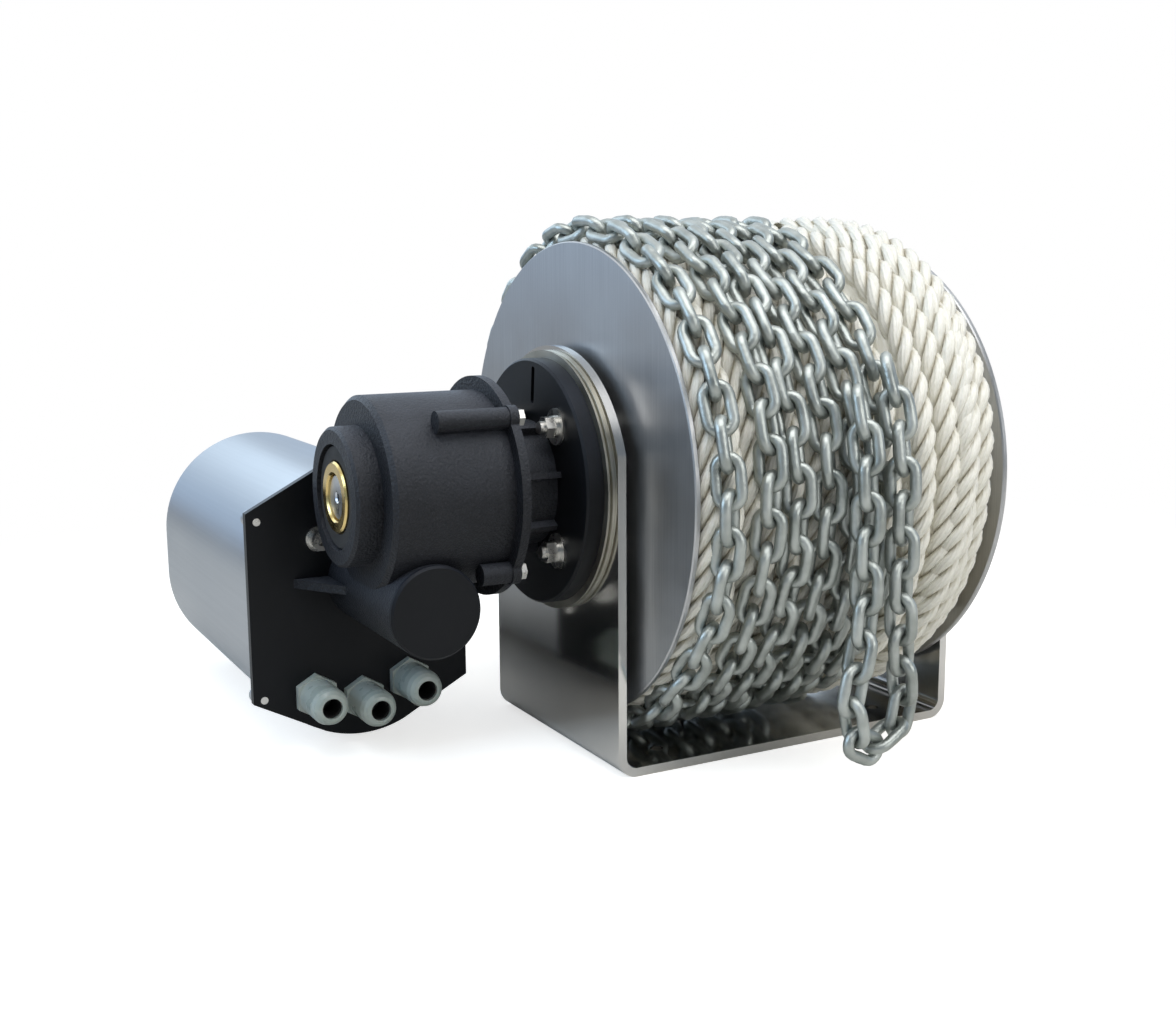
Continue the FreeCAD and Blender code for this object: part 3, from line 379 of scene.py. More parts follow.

# %% Settled dust and painted top light
def make_upward_dust_and_light_group():
    """Mask of settled dust and painted top light: cloudy, and only on faces that look up."""
    tree, nodes, links, source, target = new_group("upward_dust_and_light", [("Cloud Size", 25.0)], ["Mask"])
    place = nodes.new("ShaderNodeTexCoord").outputs["Object"]
    surface = nodes.new("ShaderNodeNewGeometry")
    split = nodes.new("ShaderNodeSeparateXYZ")
    links.new(surface.outputs["Normal"], split.inputs[0])
    # only faces that look up get the painted top light and the dust
    upward = maths(tree, "MAXIMUM", split.outputs["Z"], 0.0)
    cloud = noise(tree, place, source["Cloud Size"], 5.0, 0.6)
    links.new(maths(tree, "MULTIPLY", upward, cloud), target["Mask"])
    return tree


upward_dust_and_light = make_upward_dust_and_light_group()
print("group", upward_dust_and_light.name)

# %% [markdown]
# ## A bench for materials
# Every finish starts in the same way: a Principled shader with plain values on its own sockets, then a few
# nodes that vary colour, roughness and height. `Finish` keeps these steps close at hand. `colour` runs
# between two colours with a mask, `over` lays one more colour on top, the method for settled dust and painted
# top light lays one on faces that look up, and `gloss` and `bump` do the rest.

# %% The material bench
class Finish:
    """One material being built."""

    def __init__(self, name, metallic):
        self.material = bpy.data.materials.new(name)
        self.material.use_nodes = True
        self.tree = self.material.node_tree
        self.shader = self.tree.nodes["Principled BSDF"]
        self.set("Metallic", metallic)

    def set(self, socket, value):
        """Puts a plain value on one of the shader's own sockets."""
        self.shader.inputs[socket].default_value = value

    def group(self, tree, **values):
        """Places a node group with its own values; an underscore in a name stands for a space."""
        node = self.tree.nodes.new("ShaderNodeGroup")
        node.node_tree = tree
        for label, value in values.items():
            node.inputs[label.replace("_", " ")].default_value = value
        return node.outputs

    def colour(self, mask, dark, light, start=0.3, end=0.7):
        """Base colour that runs between two colours as the mask goes from start to end."""
        tone = tone_ramp(self.tree, mask, [(start, dark), (end, light)])
        self.tree.links.new(tone, self.shader.inputs["Base Color"])

    def over(self, mask, amount, tone):
        """Lays one more colour over what the shader already has, by a share of a mask."""
        mix = self.tree.nodes.new("ShaderNodeMix")
        mix.data_type = "RGBA"
        below = self.shader.inputs["Base Color"].links[0].from_socket
        self.tree.links.new(maths(self.tree, "MULTIPLY", mask, amount), mix.inputs[0])
        self.tree.links.new(below, mix.inputs[6])
        mix.inputs[7].default_value = (*tone, 1)
        self.tree.links.new(mix.outputs[2], self.shader.inputs["Base Color"])

    def dust_and_top_light(self, cloud, amount, tone):
        """Settled dust and painted top light: a colour laid on faces that look up."""
        self.over(self.group(upward_dust_and_light, Cloud_Size=cloud)["Mask"], amount, tone)

    def gloss(self, mask, low, high):
        """Roughness that runs from low to high with a mask."""
        span = map_range(self.tree, mask, 0.3, 0.7, low, high, kind="LINEAR")
        self.tree.links.new(span, self.shader.inputs["Roughness"])

    def bump(self, height, strength, distance):
        """Small relief from a height."""
        node = self.tree.nodes.new("ShaderNodeBump")
        node.inputs["Strength"].default_value = strength
        node.inputs["Distance"].default_value = distance
        self.tree.links.new(height, node.inputs["Height"])
        self.tree.links.new(node.outputs[0], self.shader.inputs["Normal"])


finishes = {}


def finish_parts(look, *parts):
    """Notes one finish for several solid parts."""
    for part in parts:
        finishes[part] = look.material


print("bench ready")

# %% [markdown]
# ## Brushed metals
# The bent frame is polished stainless that still shows faint grinding lines. The ring beside it has gone dull
# and brown. The flanges are brushed straight up and down, and the cover is satin aluminium drawn lengthwise.
# One function makes them all from the density of the lines along X, Y and Z, two tones, and the least and
# greatest roughness. A picture of brushed metal would need a map on every part.

# %% Polished frame and dull ring
fine_relief = 0.0002


def brushed_metal(name, density, patch, tones, gloss, depth, toned_by="Patches", edge=0.3):
    """Metal with fine parallel lines; its tone follows either the lines or large patches."""
    look = Finish(name, 1.0)
    lines = look.group(brushed_lines, Line_Density=density, Patch_Size=patch)
    look.colour(lines[toned_by], *tones, edge, 1 - edge)
    look.gloss(lines["Patches"], *gloss)
    look.bump(lines["Lines"], depth, fine_relief)
    return look


polished = brushed_metal("polished_stainless", (40.0, 30.0, 900.0), 7.0,
                         ((0.62, 0.61, 0.59), (0.74, 0.73, 0.71)), (0.08, 0.2), 0.04, edge=0.25)
dull = brushed_metal("dull_ring", (900.0, 60.0, 60.0), 30.0,
                     ((0.30, 0.285, 0.235), (0.44, 0.425, 0.37)), (0.28, 0.42), 0.08)
finish_parts(polished, "u_frame")
finish_parts(dull, "spacer_ring")
print("frame finish")

# %% Brushed flanges
flange = brushed_metal("brushed_flange", (1000.0, 1000.0, 10.0), 11.0,
                       ((0.42, 0.425, 0.43), (0.52, 0.525, 0.53)), (0.28, 0.42), 0.10, "Lines", 0.25)
flange.set("Anisotropic", 0.5)
finish_parts(flange, "left_flange", "right_flange", "drum_core", "drum_hubs")
print("flange finish")

# %% Satin cover
cover = brushed_metal("satin_cover", (420.0, 4.0, 420.0), 4.0,
                      ((0.385, 0.40, 0.42), (0.43, 0.445, 0.465)), (0.30, 0.38), 0.02, "Lines", 0.2)
finish_parts(cover, "motor_cover")
print("cover finish")

# %% Ground steel
ground = brushed_metal("ground_steel", (1200.0, 60.0, 60.0), 40.0,
                       ((0.46, 0.47, 0.49), (0.62, 0.64, 0.68)), (0.2, 0.42), 0.08, "Lines")
finish_parts(ground, "drum_shaft", "shaft_key", "worm_shaft", "left_bearing", "right_bearing",
             "front_gear_bearing", "rear_gear_bearing", "front_worm_bearing", "rear_worm_bearing",
             "motor_bearing")
print("ground steel finish")

# %% [markdown]
# ## Brass, bronze and copper
# These are turned bright, then tarnish in soft patches. The slotted brass ring in the gearbox boss is the
# only one on show. The worm wheel and the commutator are inside and get the same care, because the part may
# be opened.

# %% Yellow metals
def yellow_metal(name, dark, light, roughness):
    gloss = (roughness * 0.7, roughness * 1.4)
    return brushed_metal(name, (1100.0, 90.0, 90.0), 60.0, (dark, light), gloss, 0.05)


brass = yellow_metal("polished_brass", (0.55, 0.38, 0.13), (0.78, 0.60, 0.27), 0.2)
finish_parts(brass, "brass_ring")
finish_parts(yellow_metal("wheel_bronze", (0.40, 0.24, 0.10), (0.58, 0.38, 0.18), 0.35), "worm_wheel")
finish_parts(yellow_metal("copper_bars", (0.50, 0.22, 0.12), (0.72, 0.38, 0.24), 0.3), "commutator")
print("yellow metal finishes")

# %% [markdown]
# ## Plated fasteners
# Bolts, nuts and washers are zinc plated, with a very fine grain and cloudy patches where fingers and
# spanners have been. That grain and the skin of a casting differ only in size and depth, so one function
# makes both.

# %% Plated steel
def grained(name, metallic, density, patch, tones, gloss, depth, relief=fine_relief):
    """Finish with a pebbled skin, from plating to rough casting, and the masks of its grain."""
    look = Finish(name, metallic)
    grain = look.group(cast_grain, Grain_Density=density, Patch_Size=patch)
    look.colour(grain["Patches"], *tones)
    look.gloss(grain["Patches"], *gloss)
    look.bump(grain["Height"], depth, relief)
    return look, grain


plated, _ = grained("plated_steel", 1.0, 500.0, 90.0, ((0.52, 0.51, 0.48), (0.66, 0.65, 0.62)),
                    (0.22, 0.34), 0.02, 0.0001)
finish_parts(plated, "side_bolts", "flat_washers", "spring_washers", "side_nuts", "motor_bolts",
             "motor_washers", "plate_screws", "lid_bolts", "housing_bolts", "housing_nuts")
print("fastener finish")

# %% [markdown]
# ## Black parts
# The gearbox is a casting with a pebbled black coat; on its rounded edges the coat catches a cool light. The
# motor plate and the disc are smoother. A cool pale tint on upward faces, painted top light with some settled
# dust in it, keeps the black from looking like a hole, and the coat's roughness changes slowly over the
# surface as hands and oil leave it.

# %% Black casting
casting, grain = grained("black_casting", 0.0, 560.0, 14.0, ((0.004, 0.0045, 0.006), (0.010, 0.011, 0.014)),
                         (0.36, 0.48), 0.9, 0.0006)
# painted top light mixed with settled dust: a cool pale colour laid on faces that look up
casting.dust_and_top_light(30.0, 0.5, (0.14, 0.155, 0.19))
casting.over(grain["Specks"], 1.2, (0.10, 0.11, 0.14))
casting.set("Specular IOR Level", 0.28)
finish_parts(casting, "gearbox_housing", "gearbox_lid", "neck_collar", "right_bearing_housing",
             "motor_end_bell", "motor_can")
print("casting finish")

# %% Smooth black plate and disc
plate, _ = grained("black_plate", 0.0, 1500.0, 9.0, ((0.003, 0.0035, 0.0045), (0.007, 0.008, 0.010)),
                   (0.32, 0.5), 0.08)
# painted top light with some settled dust: a cool pale colour laid on faces that look up
plate.dust_and_top_light(40.0, 0.14, (0.20, 0.24, 0.34))
plate.set("Specular IOR Level", 0.18)
finish_parts(plate, "motor_plate", "adapter_disc", "worm_cap")
print("plate finish")

# %% [markdown]
# ## Nylon, rubber and iron
# The cable glands are grey-green nylon, which lets a little light into itself, so they get a trace of
# subsurface. Seals are matt black rubber. Magnets and armature are dark, dry iron.

# %% Glands, rubber and motor iron
nylon, _ = grained("gland_nylon", 0.0, 900.0, 60.0, ((0.34, 0.39, 0.365), (0.45, 0.49, 0.46)),
                   (0.22, 0.38), 0.05)
nylon.set("Subsurface Weight", 0.05)
rubber, _ = grained("soft_black", 0.0, 1200.0, 70.0, ((0.006, 0.006, 0.006), (0.014, 0.014, 0.014)),
                    (0.6, 0.8), 0.1)
iron, _ = grained("dark_iron", 0.6, 600.0, 30.0, ((0.05, 0.05, 0.055), (0.12, 0.11, 0.10)),
                  (0.5, 0.7), 0.15, 0.0003)
finish_parts(nylon, "gland_bodies", "gland_domes", "gland_nuts")
finish_parts(rubber, "gland_seals", "output_seal", "brush_ring", "brushes")
finish_parts(iron, "field_magnets", "armature")
print("gland, rubber and iron finishes")

# %% [markdown]
# ## Dressing the solid parts
# A solid part is neither moved nor reshaped: it only gets its finish, in every material slot it has. Rope and
# chain are left out here, because pieces made further down stand in for them.

# %% Put the finishes on the solid parts
def dress(part, material):
    """Gives every material slot of a solid part the same finish."""
    if not part.material_slots:
        part.data.materials.append(material)
    for place in part.material_slots:
        place.material = material


soft_parts = {"rope_pack", "chain_bight"} | {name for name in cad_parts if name.startswith("chain_turn")}
for name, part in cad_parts.items():
    if name not in soft_parts:
        dress(part, finishes[name])
print("dressed", len(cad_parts) - len(soft_parts), "parts")

# %% [markdown]
# ## The shaft end
# The boss of the gearbox is closed by a black seal, almost level with its rim. A brass ring turns inside the
# seal, round the pale end of the drum shaft. All three are turned parts, so one function spins them from a
# profile. The solid ring sits deeper in the boss, and the turned one replaces it.

# %% Turned pieces
def ring_faces(stations, sides):
    """Faces over a closed ring of stations, each a closed loop of points."""
    faces = []
    for i in range(stations):
        here, there = i * sides, (i + 1) % stations * sides
        for j in range(sides):
            k = (j + 1) % sides
            faces.append((here + j, there + j, there + k, here + k))
    return faces


def turned_piece(name, profile, look, around=96):
    """Mesh made by spinning a closed profile of (x, radius) points about the drum axis."""
    angle = np.linspace(0, 2 * np.pi, around, endpoint=False)
    points = [(x, r * math.cos(a), axis_z + r * math.sin(a)) for a in angle for x, r in profile]
    return add_mesh(name, points, ring_faces(around, len(profile)), look.material)


def ring_profile(front, back, inner, outer, edge):
    """Square section with its two front edges broken."""
    return [(front + edge, outer), (back, outer), (back, inner), (front + edge, inner),
            (front, inner + edge), (front, outer - edge)]


def front_near_axis(name, reach):
    """Leftmost point of a part within some reach of the drum axis."""
    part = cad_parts[name]
    points = [part.matrix_world @ v.co for v in part.data.vertices]
    return min(p.x for p in points if math.hypot(p.y, p.z - axis_z) < reach)


boss_reach = 0.046
boss_front = front_near_axis("gearbox_housing", boss_reach)
print("boss front", round(boss_front, 4))

# %% Seal, brass face and shaft end
ring_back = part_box("brass_ring")[1].x
ring_radius = half_height(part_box("brass_ring"))
ring_bore = 0.0150
seal_gap, seal_thick, seal_width = 0.0004, 0.003, 0.0094
seal_front = boss_front + 0.0022      # how deep each face lies in the boss
brass_front = boss_front + 0.0002
shaft_front = boss_front + 0.0024
seal_inner = ring_radius + seal_gap
seal_profile = ring_profile(seal_front, seal_front + seal_thick, seal_inner, seal_inner + seal_width, 0.0006)
brass_profile = ring_profile(brass_front, ring_back, ring_bore, ring_radius, 0.0012)
shaft_profile = ring_profile(shaft_front, ring_back, 0.0030, 0.0147, 0.0010)
boss_seal = turned_piece("boss_seal", seal_profile, rubber)
brass_face = turned_piece("brass_face", brass_profile, brass)
shaft_end = turned_piece("shaft_end", shaft_profile, ground)
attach(boss_seal, "frame")
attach(brass_face, "drum")
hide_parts("brass_ring")
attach(shaft_end, "drum")
print("shaft end:", len(brass_face.data.polygons), "faces in the ring")

# %% [markdown]
# ## Laid rope
# Three-strand rope is three fat strands twisted about each other. Each strand is a tube that follows a helix
# round the rope's centre line, and the centre line itself follows a helix round the drum. Three swept tubes
# give the bright oval bumps that make laid rope easy to recognise, which a bump map on one tube can't do,
# because the bumps are as deep as a quarter of the rope. The yarns in each strand are finer, so those come
# from the material, along a map that knows the strand's length and girth.

# %% A swept tube in numpy
def sweep(centres, outward, radius, sides, start_count=0):
    """Vertices, faces and map of a tube along many centres; outward is where each ring begins."""
    along = np.gradient(centres, axis=0)
    along /= np.linalg.norm(along, axis=1)[:, None]
    first = outward - (outward * along).sum(1)[:, None] * along
    first /= np.linalg.norm(first, axis=1)[:, None]
    second = np.cross(along, first)
    angle = np.linspace(0, 2 * np.pi, sides, endpoint=False)[None, :, None]
    ring = first[:, None, :] * np.cos(angle) + second[:, None, :] * np.sin(angle)
    points = centres[:, None, :] + ring * np.reshape(radius, (-1, 1, 1))
    step = np.linalg.norm(np.diff(centres, axis=0), axis=1)
    length = np.concatenate([[0], np.cumsum(step)])
    rows = np.arange(len(centres) - 1)[:, None]
    cols = np.arange(sides)[None, :]
    a = start_count + rows * sides + cols
    b = start_count + rows * sides + (cols + 1) % sides
    quads = np.stack([a, b, b + sides, a + sides], axis=-1).reshape(-1, 4)
    low_v = np.broadcast_to(cols / sides, a.shape)
    high_v = low_v + 1 / sides
    u0 = np.broadcast_to(length[:-1, None], a.shape)
    u1 = np.broadcast_to(length[1:, None], a.shape)
    chart = np.stack([np.stack([u0, low_v], -1), np.stack([u0, high_v], -1),
                      np.stack([u1, high_v], -1), np.stack([u1, low_v], -1)], axis=2).reshape(-1, 2)
    return points.reshape(-1, 3), quads, chart


def smooth_piece(name, points, quads, chart, look):
    """Smooth mesh object, with a map called lay where there is a chart."""
    piece = add_mesh(name, points.tolist(), quads.tolist(), look.material)
    if chart is not None:
        layer = piece.data.uv_layers.new(name="lay")
        layer.data.foreach_set("uv", chart.astype(np.float32).ravel())
    piece.data.polygons.foreach_set("use_smooth", np.ones(len(piece.data.polygons), bool))
    piece.data.update()
    return piece


print("sweep ready")

# %% [markdown]
# ## The rope's finish
# Clean nylon rope is nearly white with a soft shine. Fine yarns run slantwise over each strand and catch the
# light one by one, short flecks break them up, and the grooves between strands get a painted yellow-brown
# shade. The map's second number goes round the strand, so it tells how deep in the groove a point lies.

# %% The yarns
full_turn = 6.28318


def make_yarn_group():
    """Yarns of a strand: stripes that run back along the rope, with short flecks in them, and a mask of
    painted shade in the grooves between strands.
    """
    tree, nodes, links, source, target = new_group(
        "strand_yarns", [("Yarns", 9.0), ("Turns per Metre", 22.0)], ["Yarns", "Flecks", "Painted Groove Shade"])
    chart = nodes.new("ShaderNodeUVMap")
    chart.uv_map = "lay"
    split = nodes.new("ShaderNodeSeparateXYZ")
    links.new(chart.outputs[0], split.inputs[0])
    length, girth = split.outputs["X"], split.outputs["Y"]

    def times(first, second):
        return maths(tree, "MULTIPLY", first, second)

    turn = maths(tree, "ADD", girth, times(length, source["Turns per Metre"]))
    wave = maths(tree, "SINE", times(times(turn, source["Yarns"]), full_turn), 0.0)
    stretch = nodes.new("ShaderNodeCombineXYZ")
    links.new(times(length, 260.0), stretch.inputs["X"])
    links.new(times(turn, 40.0), stretch.inputs["Y"])
    inward = maths(tree, "ABSOLUTE", maths(tree, "SUBTRACT", girth, 0.5), 0.0)
    # painted shade mask: 1 deep in the groove between strands, 0 on the crest
    links.new(map_range(tree, inward, 0.36, 0.12), target["Painted Groove Shade"])
    links.new(maths(tree, "ADD", times(wave, 0.5), 0.5), target["Yarns"])
    links.new(noise(tree, stretch.outputs[0], 1.0, 3.0, 0.6), target["Flecks"])
    return tree


strand_yarns = make_yarn_group()
print("group", strand_yarns.name)

# %% White rope
def white_rope():
    look = Finish("white_rope", 0.0)
    yarn = look.group(strand_yarns, Yarns=9.0, Turns_per_Metre=22.0)
    patches = look.group(cast_grain, Grain_Density=400.0, Patch_Size=18.0)
    look.colour(yarn["Flecks"], (0.80, 0.78, 0.68), (0.93, 0.92, 0.86), end=0.6)
    look.over(patches["Patches"], 0.16, (0.66, 0.62, 0.46))
    # painted shade: a dark yellow-brown laid into the grooves between strands
    look.over(yarn["Painted Groove Shade"], 0.85, (0.42, 0.37, 0.25))
    look.gloss(yarn["Flecks"], 0.28, 0.48)
    look.bump(maths(look.tree, "ADD", yarn["Yarns"], yarn["Flecks"]), 0.5, 0.0006)
    look.set("Sheen Weight", 0.15)
    look.set("Sheen Roughness", 0.4)
    return look


rope_look = white_rope()
print("rope finish")

# %% [markdown]
# ## Winding the rope
# The rope runs from flange to flange in one long helix. It lies low where chain presses on it and climbs a
# layer at the far end, where a few bare turns wander and cross as hand-guided rope does. The path is a list
# of turns with slow, seeded wobbles in place and height, so it looks wound and still comes out the same each
# time.

# %% The rope's path
rope_thick = 0.016
rope_lay = 0.050                      # length of one twist
layer_drop = 0.0126                   # from the bare turns down to the turns under the chain
high_centre = bare_radius - rope_thick / 2
low_centre = bare_radius - layer_drop - rope_thick / 2
left_room, right_room = 0.0084, 0.0090          # centre line from each flange
heap_limit = high_centre + 0.0055     # the rope still clears the frame's base as it turns
strand_offset, strand_radius, strand_sides = 0.268, 0.238, 10   # of the rope's thickness


def smooth(value):
    """Soft step from 0 to 1."""
    value = np.clip(value, 0.0, 1.0)
    return value * value * (3 - 2 * value)


def slow_wave(turns, seed, size):
    """Sum of a few slow sines with seeded phases."""
    rng = random.Random(seed)
    total = np.zeros_like(turns)
    for rate in (0.37, 0.83, 1.0, 2.1, 3.3):
        total += np.sin(2 * math.pi * (turns * rate + rng.random())) * size / (1 + rate)
    return total


def around_drum(x, angle, radius):
    """Points at places along the drum, angles and radii, with the way outward at each."""
    out = np.stack([np.zeros_like(angle), -np.cos(angle), np.sin(angle)], axis=1)
    points = out * np.reshape(radius, (-1, 1))
    points[:, 0] += x
    points[:, 2] += axis_z
    return points, out


def wound_path(first_x, last_x, pitch, height, seed, wander, heave, step=0.0032):
    """Centre line of rope wound from one place to another; it also gives the way outward."""
    jumps = abs(last_x - first_x) / pitch
    samples = int((jumps + 1) * 2 * math.pi * low_centre / step)
    turns = np.linspace(0, jumps + 1, samples)
    whole = np.floor(turns)
    place = np.clip(whole + smooth((turns - whole - 0.35) / 0.3) - 1, 0, jumps)
    x = first_x + place * (last_x - first_x) / jumps + slow_wave(turns, seed, wander)
    x = np.clip(x, drum_left + left_room, drum_right - right_room)
    angle = 2 * math.pi * turns + math.pi / 2
    radius = np.minimum(height(x, angle) + slow_wave(turns, seed + 7, heave), heap_limit)
    return around_drum(x, angle, radius)


def laid_rope(name, centre, out, thick=rope_thick):
    """Three strands round one centre line, as one mesh."""
    step = np.linalg.norm(np.diff(centre, axis=0), axis=1)
    length = np.concatenate([[0], np.cumsum(step)])
    along = np.gradient(centre, axis=0)
    along /= np.linalg.norm(along, axis=1)[:, None]
    side = np.cross(along, out)
    side /= np.linalg.norm(side, axis=1)[:, None]
    girth = np.full(len(centre), thick * strand_radius)
    parts, count = [], 0
    for strand in range(3):
        twist = 2 * np.pi * (length / rope_lay + strand / 3)
        outward = out * np.cos(twist)[:, None] + side * np.sin(twist)[:, None]
        parts.append(sweep(centre + outward * thick * strand_offset, outward, girth, strand_sides, count))
        count += len(parts[-1][0])
    return smooth_piece(name, *(np.concatenate(rows) for rows in zip(*parts)), rope_look)


bare_start = drum_right - 5 * rope_thick
print("low turns to", round(bare_start, 4), "then bare turns to", round(drum_right, 4))

# %% [markdown]
# ## The turns under the chain
# These turns are tight and even, because the chain's weight holds them down. They swell a little beside the
# left flange and in the wide gap after the first turn of chain, where nothing presses on them.

# %% Wind the low turns
gap_swell, flange_swell = 0.0055, 0.0035
first_gap = (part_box("chain_turn_1")[1].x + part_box("chain_turn_2")[0].x) / 2


def low_height(x, angle):
    """Centre of the rope under the chain, which is the same all round the drum."""
    beside = smooth((drum_left + 0.016 - x) / 0.009)
    return low_centre + gap_swell * np.exp(-((x - first_gap) / 0.008) ** 2) + flange_swell * beside


low_path = wound_path(drum_left + rope_thick * 0.52, bare_start + rope_thick * 0.4, rope_thick * 0.98,
                      low_height, seed=3, wander=0.0006, heave=0.0008)
rope_under_chain = laid_rope("rope_under_chain", *low_path)
print("low rope faces:", len(rope_under_chain.data.polygons))

# %% [markdown]
# ## The bare turns
# At the right end the rope lies free and looser, so it is drawn a little thicker, with more wander and heave.
# On one side of the drum it is heaped up against the flange, on the other it has sunk and the flange shows.

# %% Wind the bare turns
sink_depth, heap_height = 0.021, 0.0050
bare_swell = 1.1                      # loose rope is thicker than rope under load


def bare_height(x, angle):
    """Centre of the bare rope: heaped beside the right flange at the top and sunk there at the bottom."""
    turn = (x - bare_start) / rope_thick - 0.5
    sink = sink_depth * smooth((0.22 - np.sin(angle)) / 0.95)
    heap = heap_height * smooth((np.sin(angle) + 0.05) / 0.45) * smooth((turn - 1.2) / 1.6)
    return high_centre + heap - sink * np.clip((turn - 2) / 2, 0, 1.1) ** 2 - 0.002 * smooth(0.4 - turn)


bare_path = wound_path(bare_start + rope_thick * 0.5, drum_right - rope_thick * 0.57, rope_thick * 1.08,
                       bare_height, seed=11, wander=0.0034, heave=0.0020)
rope_bare = laid_rope("rope_bare", *bare_path, rope_thick * bare_swell)
print("bare rope faces:", len(rope_bare.data.polygons))

# %% [markdown]
# ## Lengths that cross
# Rope that is wound in by hand now and then jumps over its own turns. Two short lengths do that here. Each
# comes up between two turns, crosses some at a slant and dives again. Both ends stay buried, so no cut end
# shows.

# %% Cross the bare turns
crossing_limit = high_centre + 0.0064
buried = 0.012


def crossing_path(start_angle, end_angle, start_x, end_x, rise):
    """Centre line of one crossing length, between two angles in degrees."""
    part = np.linspace(0, 1, 260)
    angle = np.radians(start_angle + (end_angle - start_angle) * part)
    x = start_x + (end_x - start_x) * smooth(part)
    over = smooth(part / 0.18) * smooth((1 - part) / 0.18)
    radius = np.minimum(bare_height(x, angle) - buried + (buried + rise) * over, crossing_limit)
    return around_drum(x, angle, radius)


first_cross = crossing_path(150, 8, bare_start + 0.5 * rope_thick, drum_right - 1.9 * rope_thick, 0.0062)
second_cross = crossing_path(75, -70, drum_right - 1.5 * rope_thick, bare_start + 1.2 * rope_thick, 0.0058)
rope_crossing = laid_rope("rope_crossing", *first_cross)
rope_crossing_low = laid_rope("rope_crossing_low", *second_cross)
print("crossing rope faces:", len(rope_crossing.data.polygons) + len(rope_crossing_low.data.polygons))

# %% [markdown]
# ## The layers beneath
# A real drum has many more layers below. One ridged tube fills that space: its ridges are a rope apart, and
# it lies just deep enough to close the gaps between turns.

# %% Fill in the layers beneath
def rope_bed(steps=220, around=160):
    """Ridged drum of rope under the turns that show."""
    x = np.linspace(drum_left + 0.0006, drum_right - 0.0006, steps + 1)
    lowest_bare = bare_height(x, np.full_like(x, -math.pi / 2)) - 0.004
    radius = np.where(x < bare_start, low_centre - 0.003, lowest_bare)
    radius += 0.0028 * np.abs(np.sin(math.pi * (x - drum_left) / rope_thick))
    centres = np.stack([x, np.zeros_like(x), np.full_like(x, axis_z)], axis=1)
    upward = np.tile(np.array([0.0, 0.0, 1.0]), (len(x), 1))
    return smooth_piece("rope_bed", *sweep(centres, upward, radius, around), rope_look)


bed = rope_bed()
for piece in (rope_under_chain, rope_bare, rope_crossing, rope_crossing_low, bed):
    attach(piece, "drum")
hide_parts("rope_pack")
print("rope rides on the drum")

# %% [markdown]
# ## Chain links
# A short-link chain is one shape repeated: a wire bent into an oval and closed by a weld on one side. The
# link is built once as a closed tube, with a slight swelling at the weld, and then copied along each turn.
# Chain on a drum lies with its links tilted, half one way and half the other, so neighbours cross at a right
# angle and neither stands on edge.

# %% One link
chain_wire = 0.0073
chain_pitch = 0.022
link_width = 0.0230
chain_play = 0.0004
weld_swell, weld_reach = 0.10, 0.0014


def link_tube(stations=28, sides=10):
    """Closed tube of one link about its middle: a straight and a bend, then the same turned half round."""
    bend = (link_width - chain_wire) / 2
    straight = (chain_pitch + chain_wire) / 2 - bend
    half_way = 2 * straight + math.pi * bend
    upright = np.array([0.0, 0.0, 1.0])
    rings = []
    for i in range(stations):
        second, way = divmod(2 * half_way * i / stations, half_way)
        if way < 2 * straight:
            centre, out = np.array([straight - way, bend, 0.0]), np.array([0.0, 1.0, 0.0])
        else:
            angle = math.pi / 2 + (way - 2 * straight) / bend
            out = np.array([math.cos(angle), math.sin(angle), 0.0])
            centre = bend * out - np.array([straight, 0.0, 0.0])
        if second:
            centre, out = -centre, -out
        weld = 0.0 if second else weld_swell * math.exp(-((way - straight) / weld_reach) ** 2)
        radius = chain_wire / 2 * (1.0 + weld)
        for turn in np.linspace(0, 2 * np.pi, sides, endpoint=False):
            rings.append(centre + radius * (math.cos(turn) * out + math.sin(turn) * upright))
    return np.array(rings), np.array(ring_faces(stations, sides))


link_points, link_quads = link_tube()
print("one link:", len(link_quads), "faces")

# %% [markdown]
# ## The chain's finish
# Galvanised chain is grey-green and satin, with the lumpy skin that hot zinc leaves and a pale bloom on top,
# which is partly painted top light.
# It isn't quite bare metal, so the shader is a little less than fully metallic.

# %% Galvanised steel
chain_look, _ = grained("galvanised_chain", 0.85, 420.0, 55.0, ((0.31, 0.335, 0.315), (0.52, 0.55, 0.525)),
                        (0.30, 0.48), 0.4, 0.0005)
# zinc bloom and painted top light: a pale colour laid on faces that look up
chain_look.dust_and_top_light(60.0, 0.3, (0.60, 0.64, 0.62))
print("chain finish")

# %% [markdown]
# ## The wound turns
# Six turns of chain lie on the low rope, each in the place of a solid ring. They are pulled tight, so a link
# presses a fraction of a millimetre into the next. A turn sways a little sideways, and the tilt of its links
# drifts round the drum, because chain laid by hand never lies perfectly. The chances are seeded by the
# turn's number, so turns differ and yet come out the same on every run.

# %% Copy links along a line
def place_links(name, points, outward, tilts):
    """A link between each pair of neighbouring points, tilted about its length."""
    all_points, all_quads = [], []
    for i in range(len(points) - 1):
        along = points[i + 1] - points[i]
        along = along / np.linalg.norm(along)
        out = outward[i] + outward[i + 1]
        out = out - out.dot(along) * along
        out = out / np.linalg.norm(out)
        side = np.cross(out, along)
        across = side * math.cos(tilts[i]) + out * math.sin(tilts[i])
        turned = np.stack([along, across, np.cross(along, across)])
        all_points.append(link_points @ turned + (points[i] + points[i + 1]) / 2)
        all_quads.append(link_quads + i * len(link_points))
    return smooth_piece(name, np.concatenate(all_points), np.concatenate(all_quads), None, chain_look)


print("link copier ready")

# %% Wind the chain
turn_count = 6
links_per_turn = 48
chain_depth = 0.0104                  # link centres below the outside of the solid turns
wound_radius = half_height(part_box("chain_turn_1")) - chain_depth


